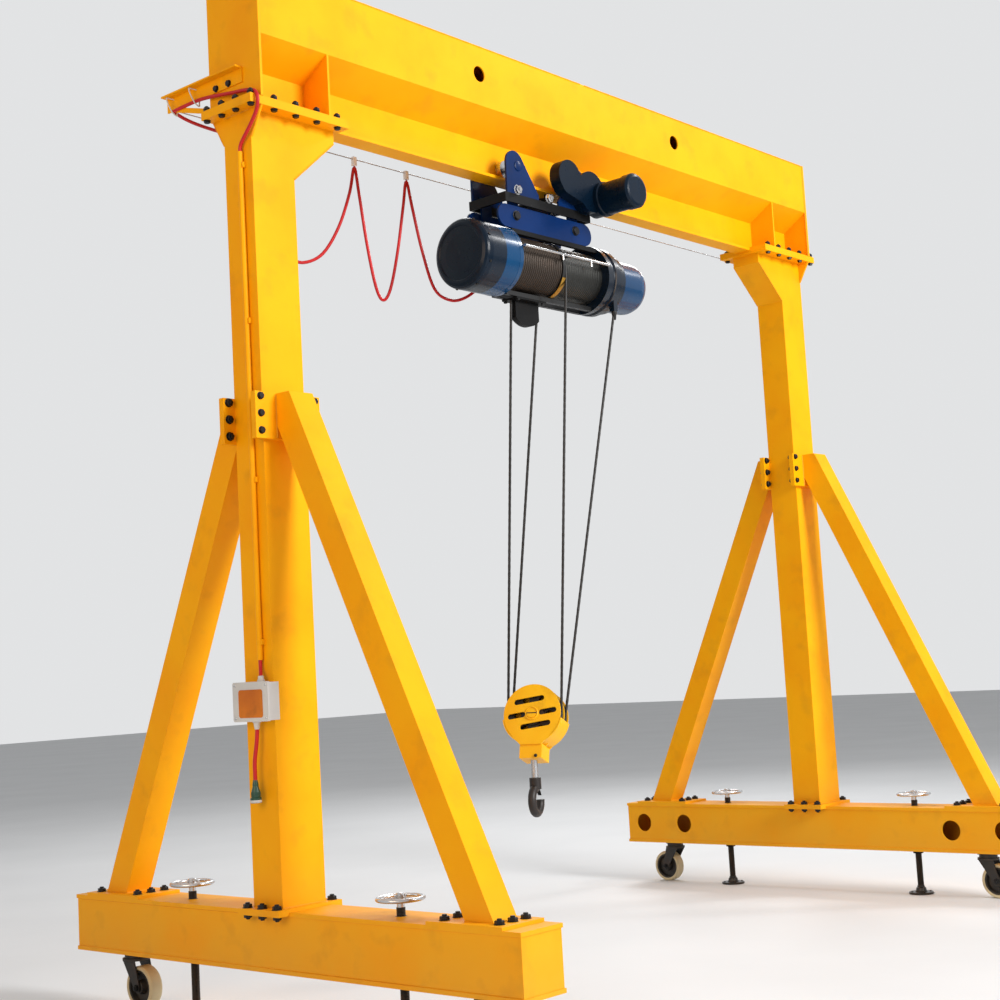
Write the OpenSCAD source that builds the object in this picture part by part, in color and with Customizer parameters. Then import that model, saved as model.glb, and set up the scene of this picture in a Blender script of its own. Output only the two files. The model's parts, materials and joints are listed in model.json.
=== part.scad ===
/* [Portal] */
// Distance between the centres of the two legs
span = 4500; // [4000:50:5200]
// Height of the girder's seat on the columns above the floor
seat_z = 4132; // [4000:1:4300]

/* [Base beams] */
// Length of a base beam
base_len = 2900; // [2800:10:3200]
// Width of a base beam along the span
base_w = 250; // [240:5:280]
// Height of the base beam's underside above the floor
base_z = 270; // [266:1:300]
// Height of a base beam
base_h = 265; // [240:5:300]
// Thickness of the plates that make the base beam's sides
base_t = 10; // [6:1:14]
// Thickness of its cover plates above and below
cover_t = 18; // [12:1:24]
// Overhang of the cover plates past the sides
cover_over = 5; // [1:1:10]
// Diameter of the access holes in the inner faces
access_d = 120; // [80:5:150]
// Distance of the outer access holes from the beam's ends
access_in = 135; // [110:5:160]
// Distance between the two access holes at one end
access_gap = 335; // [300:5:400]

/* [Legs] */
// Size of a column along the span
col_x = 250; // [230:5:280]
// Size of a column along the base beam
col_y = 190; // [170:5:210]
// Plate thickness of a column
col_t = 10; // [6:1:14]
// Thickness of the bolted foot plates
foot_t = 14; // [10:1:20]
// Overhang of the column's foot plate past the column along the span
foot_over = 60; // [50:1:70]
// Overhang of the column's foot plate along the base beam
foot_side = 40; // [30:1:60]
// Thickness of the flange plates between column and girder
head_t = 20; // [14:1:26]
// Inner end of the head plates, measured back from the column's centre
head_in = 415; // [380:5:440]
// Outer end of the head plates, measured out from the column's centre
head_out = 190; // [160:5:220]
// Height of the haunch where it meets the column
haunch_h = 287; // [240:1:320]
// Height of the haunch at its inner tip
haunch_tip = 62; // [40:1:90]
// Height of the flares under the outer corners of the flange plate
flare_h = 132; // [100:1:160]

/* [Braces] */
// Size of a brace's square tube
brace_w = 140; // [130:5:160]
// Plate thickness of a brace
brace_t = 8; // [6:1:12]
// Distance of a brace's centre line from the column's axis at its foot
brace_foot = 1190; // [1150:5:1220]
// Sideways run of a brace for each unit of height
brace_slope = 0.468; // [0.4:0.002:0.48]
// Height of a brace's top above the floor
brace_top = 2800; // [2700:10:2900]
// Length of a brace's foot plate towards the column and away from it
brace_plate = [239, 167]; // [150:1:260]
// Width of the flange plates that join brace and column
tie_w = 380; // [350:5:400]
// Height of those flange plates
tie_h = 210; // [190:5:230]
// Thickness of one of those flange plates
tie_t = 15; // [10:1:20]

/* [Girder] */
// Length of the girder between its end plates
girder_len = 4736; // [4300:2:5400]
// Height of the girder from the track's underside to its top
girder_h = 638; // [600:2:700]
// Width of the girder box
girder_w = 350; // [330:5:360]
// Plate thickness of the girder box
girder_t = 8; // [6:1:12]
// Height of the girder's lower corners above the track's underside
knee_h = 316; // [290:1:340]
// Height of the track's web
web_h = 208; // [200:1:220]
// Width of the track's flange
track_w = 110; // [100:2:120]
// Thickness of the track's flange
track_t = 16; // [12:1:20]
// Thickness of the web
track_web = 10; // [8:1:14]
// Thickness of the girder's end plates
end_t = 12; // [8:1:16]
// Distance of the gussets from the girder's ends
gusset_in = 413; // [380:1:420]
// Thickness of the gussets
gusset_t = 12; // [8:1:16]
// Diameter of the lightening holes in the girder's sides
light_d = 85; // [60:5:100]
// Distance of those holes from the middle of the span
light_x = 875; // [800:5:950]
// Distance of those holes below the girder's top
light_drop = 152; // [120:1:200]

/* [Casters] */
// Diameter of a caster wheel
wheel_d = 200; // [180:5:204]
// Width of a caster wheel
wheel_w = 70; // [60:2:76]
// Thickness of the tyre
tyre_t = 18; // [14:1:24]
// Offset of the wheel's axle from the swivel axis
trail = 60; // [40:2:70]
// Distance of the swivel axes from the beam's ends
caster_in = 302; // [260:1:330]
// Diameter of the swivel race
race_d = 130; // [120:1:140]
// Height of the swivel race
race_h = 48; // [40:1:56]
// Plate thickness of the fork
fork_t = 6; // [5:1:8]

/* [Jacks] */
// Distance of the jacks from the beam's ends
jack_in = 760; // [700:5:800]
// Diameter of a jack screw
screw_d = 38; // [32:1:42]
// Diameter of the threaded bush in the beam
bush_d = 48; // [46:1:56]
// Diameter of a jack's foot
pad_d = 150; // [120:5:170]
// Thickness of a jack's foot
pad_t = 12; // [10:1:16]
// Diameter of the handwheel's rim
rim_d = 210; // [180:5:240]
// Thickness of the handwheel's rim
rim_t = 18; // [14:1:22]
// Height of the handwheel above the base beam
rim_up = 72; // [60:1:90]

/* [Trolley] */
// Middle of the trolley along the girder
trolley_x = -305; // [-330:5:-280]
// Distance between the two carriages
wheelbase = 544; // [520:4:560]
// Diameter of a track wheel
track_wheel_d = 100; // [90:2:110]
// Distance of the carriage plates from the girder's middle
carriage_y = 119; // [112:1:128]
// Thickness of a carriage plate
carriage_t = 12; // [8:1:14]
// Radius of a carriage plate's rounded top
carriage_r = 70; // [60:1:76]
// Height of the carriage plates above the track's underside
carriage_rise = 146; // [130:1:160]
// Distance of the carriage plates' feet below the track's underside
carriage_drop = 92; // [80:1:100]
// Height of the rails that join the carriages
rail_h = 50; // [40:1:54]
// Distance between the pins that hang the hoist
pin_span = 503; // [480:1:520]

/* [Hoist] */
// Distance of the drum's axis below the track
hoist_drop = 439; // [432:1:470]
// Diameter of the bare drum
drum_d = 290; // [270:2:300]
// Diameter of the drum where rope lies on it
wound_d = 306; // [296:2:306]
// Diameter of the hoist motor
motor_d = 376; // [340:2:380]
// Length of the motor's body
motor_len = 210; // [180:2:240]
// Diameter of the gearbox flange
flange_d = 390; // [370:2:400]
// Place of the drum's motor end along the span
drum_x0 = -612; // [-630:1:-605]
// Place where the wound rope ends
wound_x = -225; // [-260:1:-215]
// Place of the gearbox flange along the span
flange_x = 117; // [100:1:130]
// Thickness of the gearbox flange
flange_w = 136; // [110:1:150]
// Length of the dark cover behind that flange
cap_w = 66; // [50:1:80]
// Thickness of the disc between motor and drum
disc_w = 28; // [20:1:36]
// Size of the square bars that tie motor and gearbox
bar_w = 24; // [20:1:28]
// Rope diameter
rope_d = 15; // [12:1:16]

/* [Hook block] */
// Pitch radius of the block's sheaves
sheave_r = 152; // [140:1:155]
// Height of the block's axis above the floor
block_z = 1257; // [1200:1:1400]
// Turn of the block about the vertical
block_turn = -69; // [-90:1:-45]
// Lean of the block's axis
block_lean = 18; // [0:1:20]
// Thickness of the block's plates
block_t = 8; // [6:1:12]
// Distance of the outer plates' inner faces from the block's middle
block_half = 62; // [58:1:70]
// Diameter of the block's axle
axle_d = 50; // [40:1:56]
// Diameter of the hook's shank
shank_d = 36; // [30:1:40]
// Diameter of the hook's round bar
hook_bar = 44; // [36:1:50]
// Radius of the hook's bowl at the middle of the bar
hook_r = 66; // [60:1:72]

/* [Electrics] */
// Distance of the cable wire from the girder's middle
wire_y = 450; // [400:5:470]
// Height of the cable wire above the track's underside
wire_up = 118; // [114:1:130]
// Diameter of the cable wire
wire_d = 6; // [4:1:8]
// Diameter of the hanging power cable
cable_d = 17; // [14:1:20]
// Diameter of the conduit on the near column
conduit_d = 26; // [20:1:30]
// Height of the control box's underside above the floor
box_z = 1355; // [1355:1:1400]
// Depth of the control box
box_x = 68; // [60:1:74]
// Width of the control box
box_y = 236; // [200:2:260]
// Height of the control box
box_h = 173; // [150:1:200]

/* [Hidden] */
$fn = 48;

// Places along the span and above the floor
leg_x = span / 2;
girder_end = girder_len / 2;
girder_top = seat_z + girder_h;
knee_z = seat_z + knee_h;
web_top = seat_z + web_h;
seat_top = seat_z + head_t;
flange_z = seat_z - head_t;
base_top = base_z + base_h;
foot_top = base_top + foot_t;
caster_y = base_len / 2 - caster_in;
jack_y = base_len / 2 - jack_in;
wire_z = seat_z + wire_up;

// Sizes of the braces along their slope
lean_angle = atan(brace_slope);
brace_run = brace_w / cos(lean_angle) / 2;
tie_face = col_y / 2 + 2 * tie_t;
lap = 5;

// Places on the trolley and its hoist
hoist_z = seat_z - hoist_drop;
disc_d = flange_d - 12;
disc_x = drum_x0 - disc_w;
wheel_shift = 25;
run_gap = 0.3;
track_axle_z = seat_z + track_t + track_wheel_d / 2 + run_gap;
carriage_foot = seat_z - carriage_drop;
pin_z = seat_z - 207;
pin_mid = trolley_x - 15;
pin_d = 30;
rod_z = seat_z - 69;
plate_r = 62;
plate_y = 104;
bar_low = hoist_z - disc_d / 2 + 1;
sheave_x = -407;
sheave_half = 110;
fall_y = -153;
anchor_x = 225;
anchor_z = hoist_z - 192;

// Places on the hook block
block_pos = [-376, 112, block_z];
neck_drop = 240;
fall_side = 33;
fall_lead = 20;
groove_rise = 0.9;
neck = block_pt([0, 0, -neck_drop]);

pin_clear = 0.1;
through = 1;
yellow = [0.96, 0.66, 0.05];
navy = [0.06, 0.10, 0.22];
blue = [0.07, 0.24, 0.50];
dark = [0.07, 0.07, 0.08];
steel = [0.62, 0.63, 0.65];
cream = [0.80, 0.74, 0.56];
pale = [0.74, 0.74, 0.72];
red = [0.62, 0.05, 0.10];

// A square tube standing on its end, open inside
module box_tube(size_x, size_y, low, high, wall) {
    translate([0, 0, low])
        linear_extrude(high - low)
            difference() {
                square([size_x, size_y], center = true);
                square([size_x - 2 * wall, size_y - 2 * wall], center = true);
            }
}

// Both ends of the span
module both_ends() {
    children();
    mirror([1, 0, 0]) children();
}

// Both sides of the girder
module both_sides() {
    children();
    mirror([0, 1, 0]) children();
}

// A profile given in the plane across the span, pushed along the span
module along_span(from, to) {
    translate([from, 0, 0])
        rotate([90, 0, 90])
            linear_extrude(to - from)
                children();
}

// A profile given in the span's plane, pushed along the base beams
module across(from, to) {
    translate([0, to, 0])
        rotate([90, 0, 0])
            linear_extrude(to - from)
                children();
}

// A round bar along the base beams, from one height to its mirror image
module cross_bar(x, z, d, half) {
    translate([x, 0, z])
        rotate([90, 0, 0])
            cylinder(d = d, h = 2 * half, center = true);
}

// Box with a keel: upright sides down to the knees, then slopes that meet at the web
module girder_outline(inset) {
    polygon([
        [-girder_w / 2 + inset, girder_top - inset],
        [-girder_w / 2 + inset, knee_z + inset * 0.6],
        [-track_web / 2, web_top + inset * 1.2],
        [track_web / 2, web_top + inset * 1.2],
        [girder_w / 2 - inset, knee_z + inset * 0.6],
        [girder_w / 2 - inset, girder_top - inset]
    ]);
}

module girder_box() {
    color(yellow)
        difference() {
            along_span(-girder_end, girder_end)
                difference() {
                    girder_outline(0);
                    girder_outline(girder_t);
                }
            for (x = [-light_x, light_x])
                cross_bar(x, girder_top - light_drop, light_d, girder_w / 2 + through);
        }
}

// Web and flange that the trolley's wheels run on
module girder_track() {
    color(yellow)
        along_span(-girder_end, girder_end)
            union() {
                translate([-track_w / 2, seat_z])
                    square([track_w, track_t]);
                translate([-track_web / 2, seat_z])
                    square([track_web, web_h]);
            }
}

module girder_end_plates() {
    color(yellow)
        both_ends()
            translate([girder_end, -girder_w / 2 - lap, seat_top])
                cube([end_t, girder_w + 2 * lap, girder_top - seat_top]);
}

// Gussets that fill the corner between web, slope and head plate over each column
module girder_gussets() {
    gusset_x = girder_end - gusset_in;
    color(yellow)
        both_ends()
            both_sides()
                along_span(gusset_x - gusset_t / 2, gusset_x + gusset_t / 2)
                    polygon([
                        [track_web / 2, seat_top],
                        [girder_w / 2, seat_top],
                        [girder_w / 2, knee_z],
                        [track_web / 2, web_top]
                    ]);
}

// The girder's own seat plate, cut out for the track's flange
module head_plates() {
    color(yellow)
        both_ends()
            difference() {
                translate([leg_x - head_in, -girder_w / 2, seat_z])
                    cube([head_in + head_out, girder_w, head_t]);
                translate([leg_x - head_in - through, -track_w / 2, seat_z - through])
                    cube([girder_end - leg_x + head_in + through, track_w, head_t + 2 * through]);
            }
}

module column(side) {
    color(yellow)
        translate([side * leg_x, 0, 0])
            box_tube(col_x, col_y, foot_top, flange_z, col_t);
}

// Haunch seen along the base beams, from the column's inner face to its tip
module haunch(inset) {
    inner = leg_x - col_x / 2;
    tip = leg_x - head_in + 30;
    polygon([
        [inner + inset * 0.1, flange_z - haunch_h + inset * 1.3],
        [tip + inset, flange_z - haunch_tip + inset * 0.4],
        [tip + inset, flange_z - inset],
        [inner + inset * 0.1, flange_z - inset]
    ]);
}

// Haunch, flares and flange plate on top of both columns
module column_heads() {
    outer = leg_x + col_x / 2;
    color(yellow)
        both_ends() {
            across(-col_y / 2, col_y / 2)
                difference() {
                    haunch(0);
                    haunch(col_t);
                }
            for (y = [-col_y / 2, col_y / 2 - col_t])
                across(y, y + col_t)
                    haunch(0);
            both_sides()
                along_span(outer - gusset_t, outer)
                    polygon([
                        [col_y / 2, flange_z - flare_h],
                        [girder_w / 2 - lap, flange_z],
                        [col_y / 2, flange_z]
                    ]);
            translate([leg_x - head_in, -girder_w / 2, flange_z])
                cube([head_in + head_out, girder_w, head_t]);
        }
}

// Foot plates of the columns and braces, flat on the base beams, and the beams' ears under them
module foot_plates() {
    foot_y = col_y / 2 + foot_side;
    foot_x = col_x / 2 + foot_over;
    color(yellow)
        both_ends()
            translate([leg_x, 0, base_top]) {
                translate([-foot_x, -foot_y, 0])
                    cube([2 * foot_x, 2 * foot_y, foot_t]);
                for (x = [-foot_x, base_w / 2])
                    translate([x, -foot_y, -foot_t])
                        cube([foot_x - base_w / 2, 2 * foot_y, foot_t]);
                both_sides()
                    translate([-base_w / 2, brace_foot - brace_plate[0], 0])
                        cube([base_w, brace_plate[0] + brace_plate[1], foot_t]);
            }
}

// Brace seen along the span, cut level at its foot and top and upright along the flange plates
module brace_outline(inset) {
    half = brace_run - inset;
    top = brace_top - inset;
    inside = tie_face + inset;
    polygon([
        [brace_foot - half, foot_top],
        [brace_foot + half, foot_top],
        [brace_foot + half - brace_slope * (top - foot_top), top],
        [inside, top],
        [inside, foot_top + (brace_foot - half - inside) / brace_slope]
    ]);
}

module brace(side, hand) {
    color(yellow)
        translate([side * leg_x, 0, 0])
            mirror([0, hand < 0 ? 1 : 0, 0])
                difference() {
                    along_span(-brace_w / 2, brace_w / 2)
                        brace_outline(0);
                    along_span(-brace_w / 2 + brace_t, brace_w / 2 - brace_t)
                        brace_outline(brace_t);
                }
}

module brace_flanges() {
    color(yellow)
        both_ends()
            both_sides()
                for (y = [0, tie_t])
                    translate([leg_x - tie_w / 2, col_y / 2 + y, brace_top - tie_h + lap])
                        cube([tie_w, tie_t, tie_h]);
}

// Box beam between two cover plates, with access holes in its inner face
module base_beam(side) {
    low = base_z + cover_t;
    high = base_top - cover_t;
    body_w = base_w - 2 * cover_over;
    body_len = base_len - 2 * cover_over;
    outer_hole = base_len / 2 - access_in;
    color(yellow)
        translate([side * leg_x, 0, 0])
            difference() {
                union() {
                    for (z = [base_z, high])
                        translate([-base_w / 2, -base_len / 2, z])
                            cube([base_w, base_len, cover_t]);
                    translate([-body_w / 2, -body_len / 2, low])
                        cube([body_w, body_len, high - low]);
                }
                translate([-body_w / 2 + base_t, -body_len / 2 + base_t, low])
                    cube([body_w - 2 * base_t, body_len - 2 * base_t, high - low]);
                for (hand = [-1, 1]) {
                    for (y = [outer_hole, outer_hole - access_gap])
                        translate([-side * base_w / 2, hand * y, (low + high) / 2])
                            rotate([0, 90, 0])
                                cylinder(d = access_d, h = 4 * (cover_over + base_t), center = true);
                    translate([0, hand * jack_y, base_z - through])
                        cylinder(d = bush_d + 2 * pin_clear, h = base_h + 2 * through);
                }
            }
}

// Threaded bushes through the beams, with a collar under each
module jack_nuts() {
    collar_h = 24;
    color(dark)
        both_ends()
            both_sides()
                translate([leg_x, jack_y, base_z - collar_h])
                    difference() {
                        union() {
                            cylinder(d = bush_d, h = collar_h + base_h);
                            cylinder(d = bush_d + 14, h = collar_h);
                        }
                        translate([0, 0, -through])
                            cylinder(d = screw_d + 2 * pin_clear, h = collar_h + base_h + 2 * through);
                    }
}

// Screw with its swivel foot below and its handwheel above
module jack(side, hand) {
    screw_top = base_top + rim_up / 2;
    hub_d = 50;
    hub_h = 26;
    rim_r = (rim_d - rim_t) / 2;
    translate([side * leg_x, hand * jack_y, 0]) {
        color(dark)
            union() {
                cylinder(d = screw_d, h = screw_top);
                rotate_extrude()
                    polygon([
                        [0, 0], [pad_d / 2, 0], [pad_d / 2, pad_t - 3], [pad_d / 2 - 3, pad_t],
                        [screw_d / 2 + 20, pad_t], [screw_d / 2 + 14, pad_t + 8], [screw_d / 2 + 10, pad_t + 24],
                        [screw_d / 2 + 4, pad_t + 28], [0, pad_t + 28]
                    ]);
            }
        color(steel)
            union() {
                translate([0, 0, screw_top])
                    cylinder(d = screw_d - 6, h = rim_up / 2);
                translate([0, 0, base_top + rim_up]) {
                    cylinder(d = hub_d, h = hub_h, center = true);
                    rotate_extrude()
                        translate([rim_r, 0])
                            circle(d = rim_t, $fn = 24);
                    for (turn = [30:120:270])
                        rotate([0, 90, turn])
                            cylinder(d = rim_t - 5, h = rim_r, $fn = 24);
                }
            }
    }
}

// Fork of one caster under its swivel race, trailing to one side along the beam
module caster_fork(side, hand, lay) {
    axle_z = wheel_d / 2;
    cheek = wheel_w / 2 + 6;
    low = base_z - race_h;
    rim = race_h / 4;
    axle = 20;
    translate([side * leg_x, hand * caster_y, 0])
        mirror([0, lay < 0 ? 1 : 0, 0])
            color(dark)
                difference() {
                    union() {
                        translate([0, 0, low])
                            cylinder(d = race_d - 22, h = race_h);
                        for (z = [low, base_z - rim])
                            translate([0, 0, z])
                                cylinder(d = race_d, h = rim);
                        for (x = [-cheek - fork_t, cheek])
                            along_span(x, x + fork_t)
                                hull() {
                                    translate([-race_d / 3, low])
                                        square([race_d * 2 / 3, rim]);
                                    translate([trail, axle_z])
                                        circle(d = 2.2 * axle);
                                }
                        translate([0, trail, axle_z])
                            rotate([0, 90, 0])
                                cylinder(d = axle, h = 2 * (cheek + fork_t + 12), center = true);
                    }
                    translate([0, 0, low - through])
                        cylinder(d = 14, h = race_h + 2 * through);
                }
}

// Cast wheel, dished between hub and rim, with a moulded tyre
module caster_wheel(side, hand, lay) {
    tyre_r = wheel_d / 2;
    core_r = tyre_r - tyre_t;
    half = wheel_w / 2;
    hub_r = 30;
    hub_half = half + 2;
    web = 9;
    bore = 10 + pin_clear;
    translate([side * leg_x, hand * caster_y + lay * trail, wheel_d / 2])
        rotate([0, 90, 0])
            union() {
                color(cream)
                    rotate_extrude()
                        polygon([
                            [core_r, -half + 2], [tyre_r - 6, -half], [tyre_r, -half + 8], [tyre_r, half - 8],
                            [tyre_r - 6, half], [core_r, half - 2]
                        ]);
                color(dark)
                    rotate_extrude()
                        polygon([
                            [bore, -hub_half], [hub_r - 4, -hub_half], [hub_r, -half], [hub_r + 6, -web],
                            [core_r - 16, -web], [core_r - 10, -half + 4], [core_r + 1, -half + 4],
                            [core_r + 1, half - 4], [core_r - 10, half - 4], [core_r - 16, web],
                            [hub_r + 6, web], [hub_r, half], [hub_r - 4, hub_half], [bore, hub_half]
                        ]);
            }
}

// One trolley carriage plate, wide at its foot and round over the wheel
module carriage_plate() {
    foot_w = [carriage_r + 2, 188];
    hull() {
        translate([0, seat_z + carriage_rise - carriage_r])
            circle(r = carriage_r);
        translate([-foot_w[0], carriage_foot])
            square([foot_w[0] + foot_w[1], bar_w]);
    }
}

// Both carriages on their track wheels, with the hangers and rods under the track
module trolley_frame() {
    hanger_w = 80;
    hanger_y = 90;
    hanger_top = seat_z - 60;
    outer = carriage_y + carriage_t;
    color(blue) {
        for (hand = [-1, 1])
            translate([trolley_x, 0, 0])
                mirror([hand > 0 ? 0 : 1, 0, 0])
                    translate([-wheelbase / 2, 0, 0])
                        both_sides()
                            across(carriage_y, outer)
                                carriage_plate();
        for (x = [pin_mid - pin_span / 2, pin_mid + pin_span / 2])
            both_sides() {
                across(hanger_y, hanger_y + carriage_t)
                    difference() {
                        translate([x - hanger_w / 2, pin_z - 35])
                            square([hanger_w, hanger_top - pin_z + 35]);
                        translate([x, pin_z])
                            circle(d = pin_d);
                    }
                translate([x - hanger_w / 2, hanger_y, carriage_foot + 4])
                    cube([hanger_w, carriage_y - hanger_y + 1, 16]);
            }
    }
    color(steel)
        for (hand = [-1, 1]) {
            wheel_x = trolley_x + hand * (wheelbase / 2 - wheel_shift);
            both_sides() {
                translate([wheel_x, 31, track_axle_z])
                    rotate([90, 0, 0])
                        cylinder(d = track_wheel_d, h = 34, center = true);
                translate([wheel_x, outer, track_axle_z])
                    rotate([90, 0, 0])
                        cylinder(d = pin_d, h = outer - 31);
            }
            cross_bar(trolley_x + hand * (wheelbase / 2 - 9), rod_z, pin_d, outer);
        }
}

// Dark rails and cross members that join the two carriages, with a rod through their middle
module trolley_rails() {
    half = wheelbase / 2 + 90;
    outer = carriage_y + carriage_t;
    low = carriage_foot - rail_h;
    lug_h = rod_z - carriage_foot + 20;
    color(dark) {
        both_sides()
            across(carriage_y, outer) {
                translate([trolley_x - half, low])
                    square([2 * half, rail_h]);
                translate([trolley_x - 24, carriage_foot])
                    square([48, lug_h]);
            }
        for (hand = [-1, 1])
            translate([trolley_x + hand * (half - carriage_t / 2) - carriage_t / 2, -outer, low])
                cube([carriage_t, 2 * outer, rail_h]);
        cross_bar(trolley_x, rod_z, pin_d, outer);
    }
}

// Travel motor with its two-lobed gear case, outside the far carriage
module travel_drive() {
    face = carriage_y + carriage_t;
    depth = 69;
    motor_x = 100;
    motor_z = seat_z - 17;
    r = 98;
    motor_end = 240;
    color(navy)
        union() {
            across(-face - depth, -face) {
                translate([-190, seat_z + 61])
                    circle(d = 190);
                translate([0, seat_z + 10])
                    circle(r = 117);
                hull() {
                    translate([-200, seat_z + 26])
                        circle(r = 66);
                    translate([motor_x, motor_z + 6])
                        circle(r = r);
                }
            }
            translate([motor_x, -face - depth, motor_z])
                rotate([90, 0, 0])
                    rotate_extrude()
                        polygon([
                            [0, 0], [r, 0], [r, 24], [r - 6, 30], [r - 6, motor_end - 70], [r, motor_end - 64],
                            [r, motor_end - 16], [r - 10, motor_end - 4], [r - 22, motor_end], [0, motor_end]
                        ]);
        }
}

// Plates that hang the hoist under the trolley, with the bars they stand on
module suspension_plates() {
    plate_z = seat_z - 216;
    plate_half = pin_span / 2 + 82;
    low = hoist_z + 135;
    gland = [-330, plate_z - 4];
    color(blue) {
        both_sides()
            across(plate_y, plate_y + carriage_t)
                difference() {
                    hull() {
                        for (x = [pin_mid - plate_half, pin_mid + plate_half])
                            translate([x, plate_z])
                                circle(r = plate_r);
                        translate([pin_mid - pin_span / 2, low + bar_w])
                            square([pin_span, 4]);
                    }
                    for (x = [pin_mid - pin_span / 2, pin_mid + pin_span / 2])
                        translate([x, pin_z])
                            circle(d = pin_d);
                }
        translate([gland[0], plate_y + carriage_t + 14, gland[1]])
            rotate([90, 0, 0])
                cylinder(d = cable_d + 11, h = 14);
    }
    color(dark)
        both_sides()
            translate([drum_x0, plate_y - 12, low])
                cube([flange_x - drum_x0, bar_w, bar_w]);
    color(steel)
        both_sides()
            for (x = [pin_mid - pin_span / 2, pin_mid + pin_span / 2])
                translate([x, plate_y - 1, pin_z])
                    rotate([90, 0, 0])
                        cylinder(d = pin_d - pin_clear, h = 50, center = true);
}

module hoist_motor() {
    color(blue)
        translate([disc_x - motor_len, 0, hoist_z])
            rotate([0, 90, 0])
                cylinder(d = motor_d, h = motor_len, $fn = 64);
}

// Dished cover over the motor's outer end
module motor_cover() {
    r = motor_d / 2;
    color(navy)
        translate([disc_x - motor_len, 0, hoist_z])
            rotate([0, -90, 0])
                rotate_extrude($fn = 64)
                    polygon([
                        [0, 0], [r, 0], [r, 30], [r - 4, 42], [r - 13, 52], [r - 28, 59], [r - 40, 60],
                        [r - 46, 56], [r - 90, 62], [0, 66]
                    ]);
}

// Disc between motor and drum, with the two bars that run under the drum
module hoist_housing() {
    color(blue)
        translate([disc_x, 0, hoist_z])
            rotate([0, 90, 0])
                cylinder(d = disc_d, h = disc_w, $fn = 64);
    color(dark)
        for (y = [-54, 54 - bar_w])
            translate([drum_x0, y, bar_low])
                cube([flange_x - drum_x0, bar_w, bar_w]);
}

// Ringed flange, dark cover and domed gear case
module hoist_gearbox() {
    r = flange_d / 2;
    edge = flange_x + flange_w;
    lug_w = 32;
    color(dark)
        translate([flange_x, 0, hoist_z])
            rotate([0, 90, 0])
                rotate_extrude($fn = 64)
                    polygon([
                        [0, 0], [r, 0], [r, 34], [r - 9, 38], [r - 9, 66], [r, 70], [r, 104], [r - 9, 108],
                        [r - 9, flange_w - 6], [r - 23, flange_w], [r - 23, flange_w + cap_w - 18],
                        [r - 37, flange_w + cap_w], [0, flange_w + cap_w]
                    ]);
    color(blue)
        translate([edge + cap_w, 0, hoist_z])
            rotate([0, 90, 0])
                rotate_extrude($fn = 64)
                    polygon([
                        [0, 0], [150, 0], [150, 170], [147, 194], [138, 218], [120, 236], [90, 246], [50, 250],
                        [0, 250]
                    ]);
    color(dark)
        translate([anchor_x - lug_w / 2, fall_y + 8, anchor_z + 2])
            cube([lug_w, 34, 70]);
}

// Guide ring round the drum with its guide rail
module rope_guide() {
    ring_w = 24;
    ring_x = wound_x - 26;
    rail_y = -200;
    rail_up = 48;
    post = 12;
    color(dark) {
        translate([ring_x, 0, hoist_z])
            rotate([0, 90, 0])
                difference() {
                    cylinder(r = wound_d / 2 + 9.5, h = ring_w, $fn = 64);
                    translate([0, 0, -through])
                        cylinder(r = wound_d / 2 + 5, h = ring_w + 2 * through, $fn = 64);
                }
        translate([ring_x, rail_y + 4, hoist_z + rail_up - 6])
            cube([ring_w, 42, post]);
    }
    color(steel) {
        translate([drum_x0, rail_y, hoist_z + rail_up])
            rotate([0, 90, 0])
                cylinder(d = 16, h = flange_x - drum_x0);
        for (x = [-296, -50])
            translate([x, rail_y, hoist_z + rail_up - 34])
                cylinder(d = post, h = 30);
        for (x = [drum_x0, flange_x - post])
            translate([x, rail_y - 6, hoist_z + rail_up - 6])
                cube([post, 54, post]);
    }
}

// Guard of the fixed sheave, which the middle falls run over
module sheave_guard() {
    half_w = sheave_half - 14;
    half_t = 18;
    depth = 144;
    bow = 140;
    plate_t = 11;
    color(dark)
        translate([sheave_x, 0, bar_low - run_gap])
            union() {
                across(-half_t, half_t)
                    intersection() {
                        translate([0, bow - depth])
                            circle(r = bow);
                        translate([-half_w, -depth])
                            square([2 * half_w, depth]);
                    }
                translate([-sheave_half - 13, -54, -plate_t])
                    cube([2 * sheave_half + 26, 108, plate_t]);
            }
}

module drum() {
    color([0.22, 0.20, 0.19])
        translate([drum_x0 + run_gap, 0, hoist_z])
            rotate([0, 90, 0])
                union() {
                    cylinder(d = drum_d, h = flange_x - drum_x0 - 2 * run_gap, $fn = 64);
                    cylinder(d = wound_d, h = wound_x - drum_x0 - run_gap, $fn = 64);
                }
}

// A point of the leaning block, from its place in the block's own frame
function block_pt(p) =
    let(
        y = p[1] * cos(block_lean) + p[2] * sin(block_lean),
        z = p[2] * cos(block_lean) - p[1] * sin(block_lean)
    )
    block_pos + [p[0] * cos(block_turn) - y * sin(block_turn), p[0] * sin(block_turn) + y * cos(block_turn), z];

// The block's own frame: its disc plane turned and leaned
module block_frame() {
    translate(block_pos)
        rotate([0, 0, block_turn])
            rotate([-block_lean, 0, 0])
                children();
}

// Round plate of the block with its foot
module block_plate(from) {
    foot_w = 120;
    foot_z = sheave_r + 16;
    across(from, from + block_t)
        hull() {
            circle(r = sheave_r + 8, $fn = 64);
            translate([-foot_w / 2, -foot_z])
                square([foot_w, 10]);
        }
}

// Slot with round ends
module slot(mid, length, width) {
    translate(mid)
        union() {
            square([length - width, width], center = true);
            for (s = [-1, 1])
                translate([s * (length - width) / 2, 0])
                    circle(d = width, $fn = 24);
        }
}

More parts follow.
